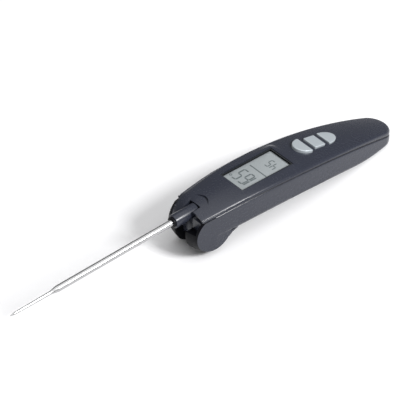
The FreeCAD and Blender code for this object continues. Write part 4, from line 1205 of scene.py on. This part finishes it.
class THERMO_OT_stage(bpy.types.Operator):
    """Pale floor, soft lights and the camera"""

    bl_idname = "thermo.stage"
    bl_label = "Stage"

    def execute(self, context):
        stage = settings("stage")
        mesh = bpy.data.meshes.new("floor")
        reach = 6.0
        corners = [(-reach, -reach, 0), (reach, -reach, 0), (reach, reach, 0), (-reach, reach, 0)]
        mesh.from_pydata(corners, [], [(0, 1, 2, 3)])
        floor = bpy.data.objects.new("floor", mesh)
        context.scene.collection.objects.link(floor)
        finish = Finish("floor_paper")
        finish.varied(stage.floor, 0.012, finish.noise(30.0, 3.0))
        finish.set("Roughness", 0.85 + (finish.noise(400.0) - 0.5) * 0.1)
        mesh.materials.append(finish.material)
        world = bpy.data.worlds.new("studio")
        world.use_nodes = True
        sky = world.node_tree.nodes["Background"].inputs
        sky["Color"].default_value = (1.0, 1.0, 1.0, 1.0)
        sky["Strength"].default_value = 0.25
        context.scene.world = world
        area_light("overhead", (0.0, 0.0, 1.5), (0.0, 0.0, 0.0), 2.0, 17.0)
        area_light("edge", (0.36, -0.86, 0.78), (0.0, 0.0, 0.02), 0.34, 16.0)
        away = Vector((-0.4999, -0.567, 0.6547)).normalized()
        display = (np.array([DISPLAY_X, 0.0, DISPLAY_Z + 0.65]) + PIVOT) * MM
        data = bpy.data.cameras.new("camera")
        data.lens, data.sensor_width = stage.focal, 36.0
        camera = bpy.data.objects.new("camera", data)
        context.scene.collection.objects.link(camera)
        turn = away.to_track_quat("Z", "Y")
        right, up = turn @ Vector((1, 0, 0)), turn @ Vector((0, 1, 0))
        aim = Vector(display) - right * 0.0298 - up * 0.0166
        camera.location = aim + away * stage.distance
        camera.rotation_euler = turn.to_euler()
        data.clip_start, data.clip_end = 0.1, 30.0
        context.scene.camera = camera
        context.scene.view_settings.view_transform = "Standard"
        return {"FINISHED"}


class THERMO_PT_panel(bpy.types.Panel):
    """Lists the thermometer's pieces"""

    bl_label = "Thermometer"
    bl_idname = "THERMO_PT_panel"
    bl_space_type = "VIEW_3D"
    bl_region_type = "UI"
    bl_category = "Thermometer"

    def draw(self, context):
        for operator in OPERATORS:
            self.layout.operator(operator.bl_idname)
        for name in SETTINGS:
            box = self.layout.box()
            group = settings(name)
            for key in group.bl_rna.properties.keys():
                if key not in ("rna_type", "name"):
                    box.prop(group, key)


SETTINGS = {"shell": ShellSettings, "keys": KeySettings, "display": DisplaySettings,
            "probe": ProbeSettings, "stage": StageSettings}
OPERATORS = [THERMO_OT_cover, THERMO_OT_housing, THERMO_OT_gasket, THERMO_OT_display,
             THERMO_OT_keys, THERMO_OT_probe, THERMO_OT_inner, THERMO_OT_stage]


def register():
    for made in [*SETTINGS.values(), *OPERATORS, THERMO_PT_panel]:
        bpy.utils.register_class(made)
    for name, group in SETTINGS.items():
        setattr(bpy.types.Scene, "thermometer_" + name, PointerProperty(type=group))


def unregister():
    for name in SETTINGS:
        delattr(bpy.types.Scene, "thermometer_" + name)
    for made in [THERMO_PT_panel, *OPERATORS, *SETTINGS.values()]:
        bpy.utils.unregister_class(made)


def main():
    """Registers the add-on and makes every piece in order."""
    register()
    for operator in OPERATORS:
        group, name = operator.bl_idname.split(".")
        getattr(getattr(bpy.ops, group), name)()
    bpy.context.view_layer.update()


if __name__ == "__main__":
    main()
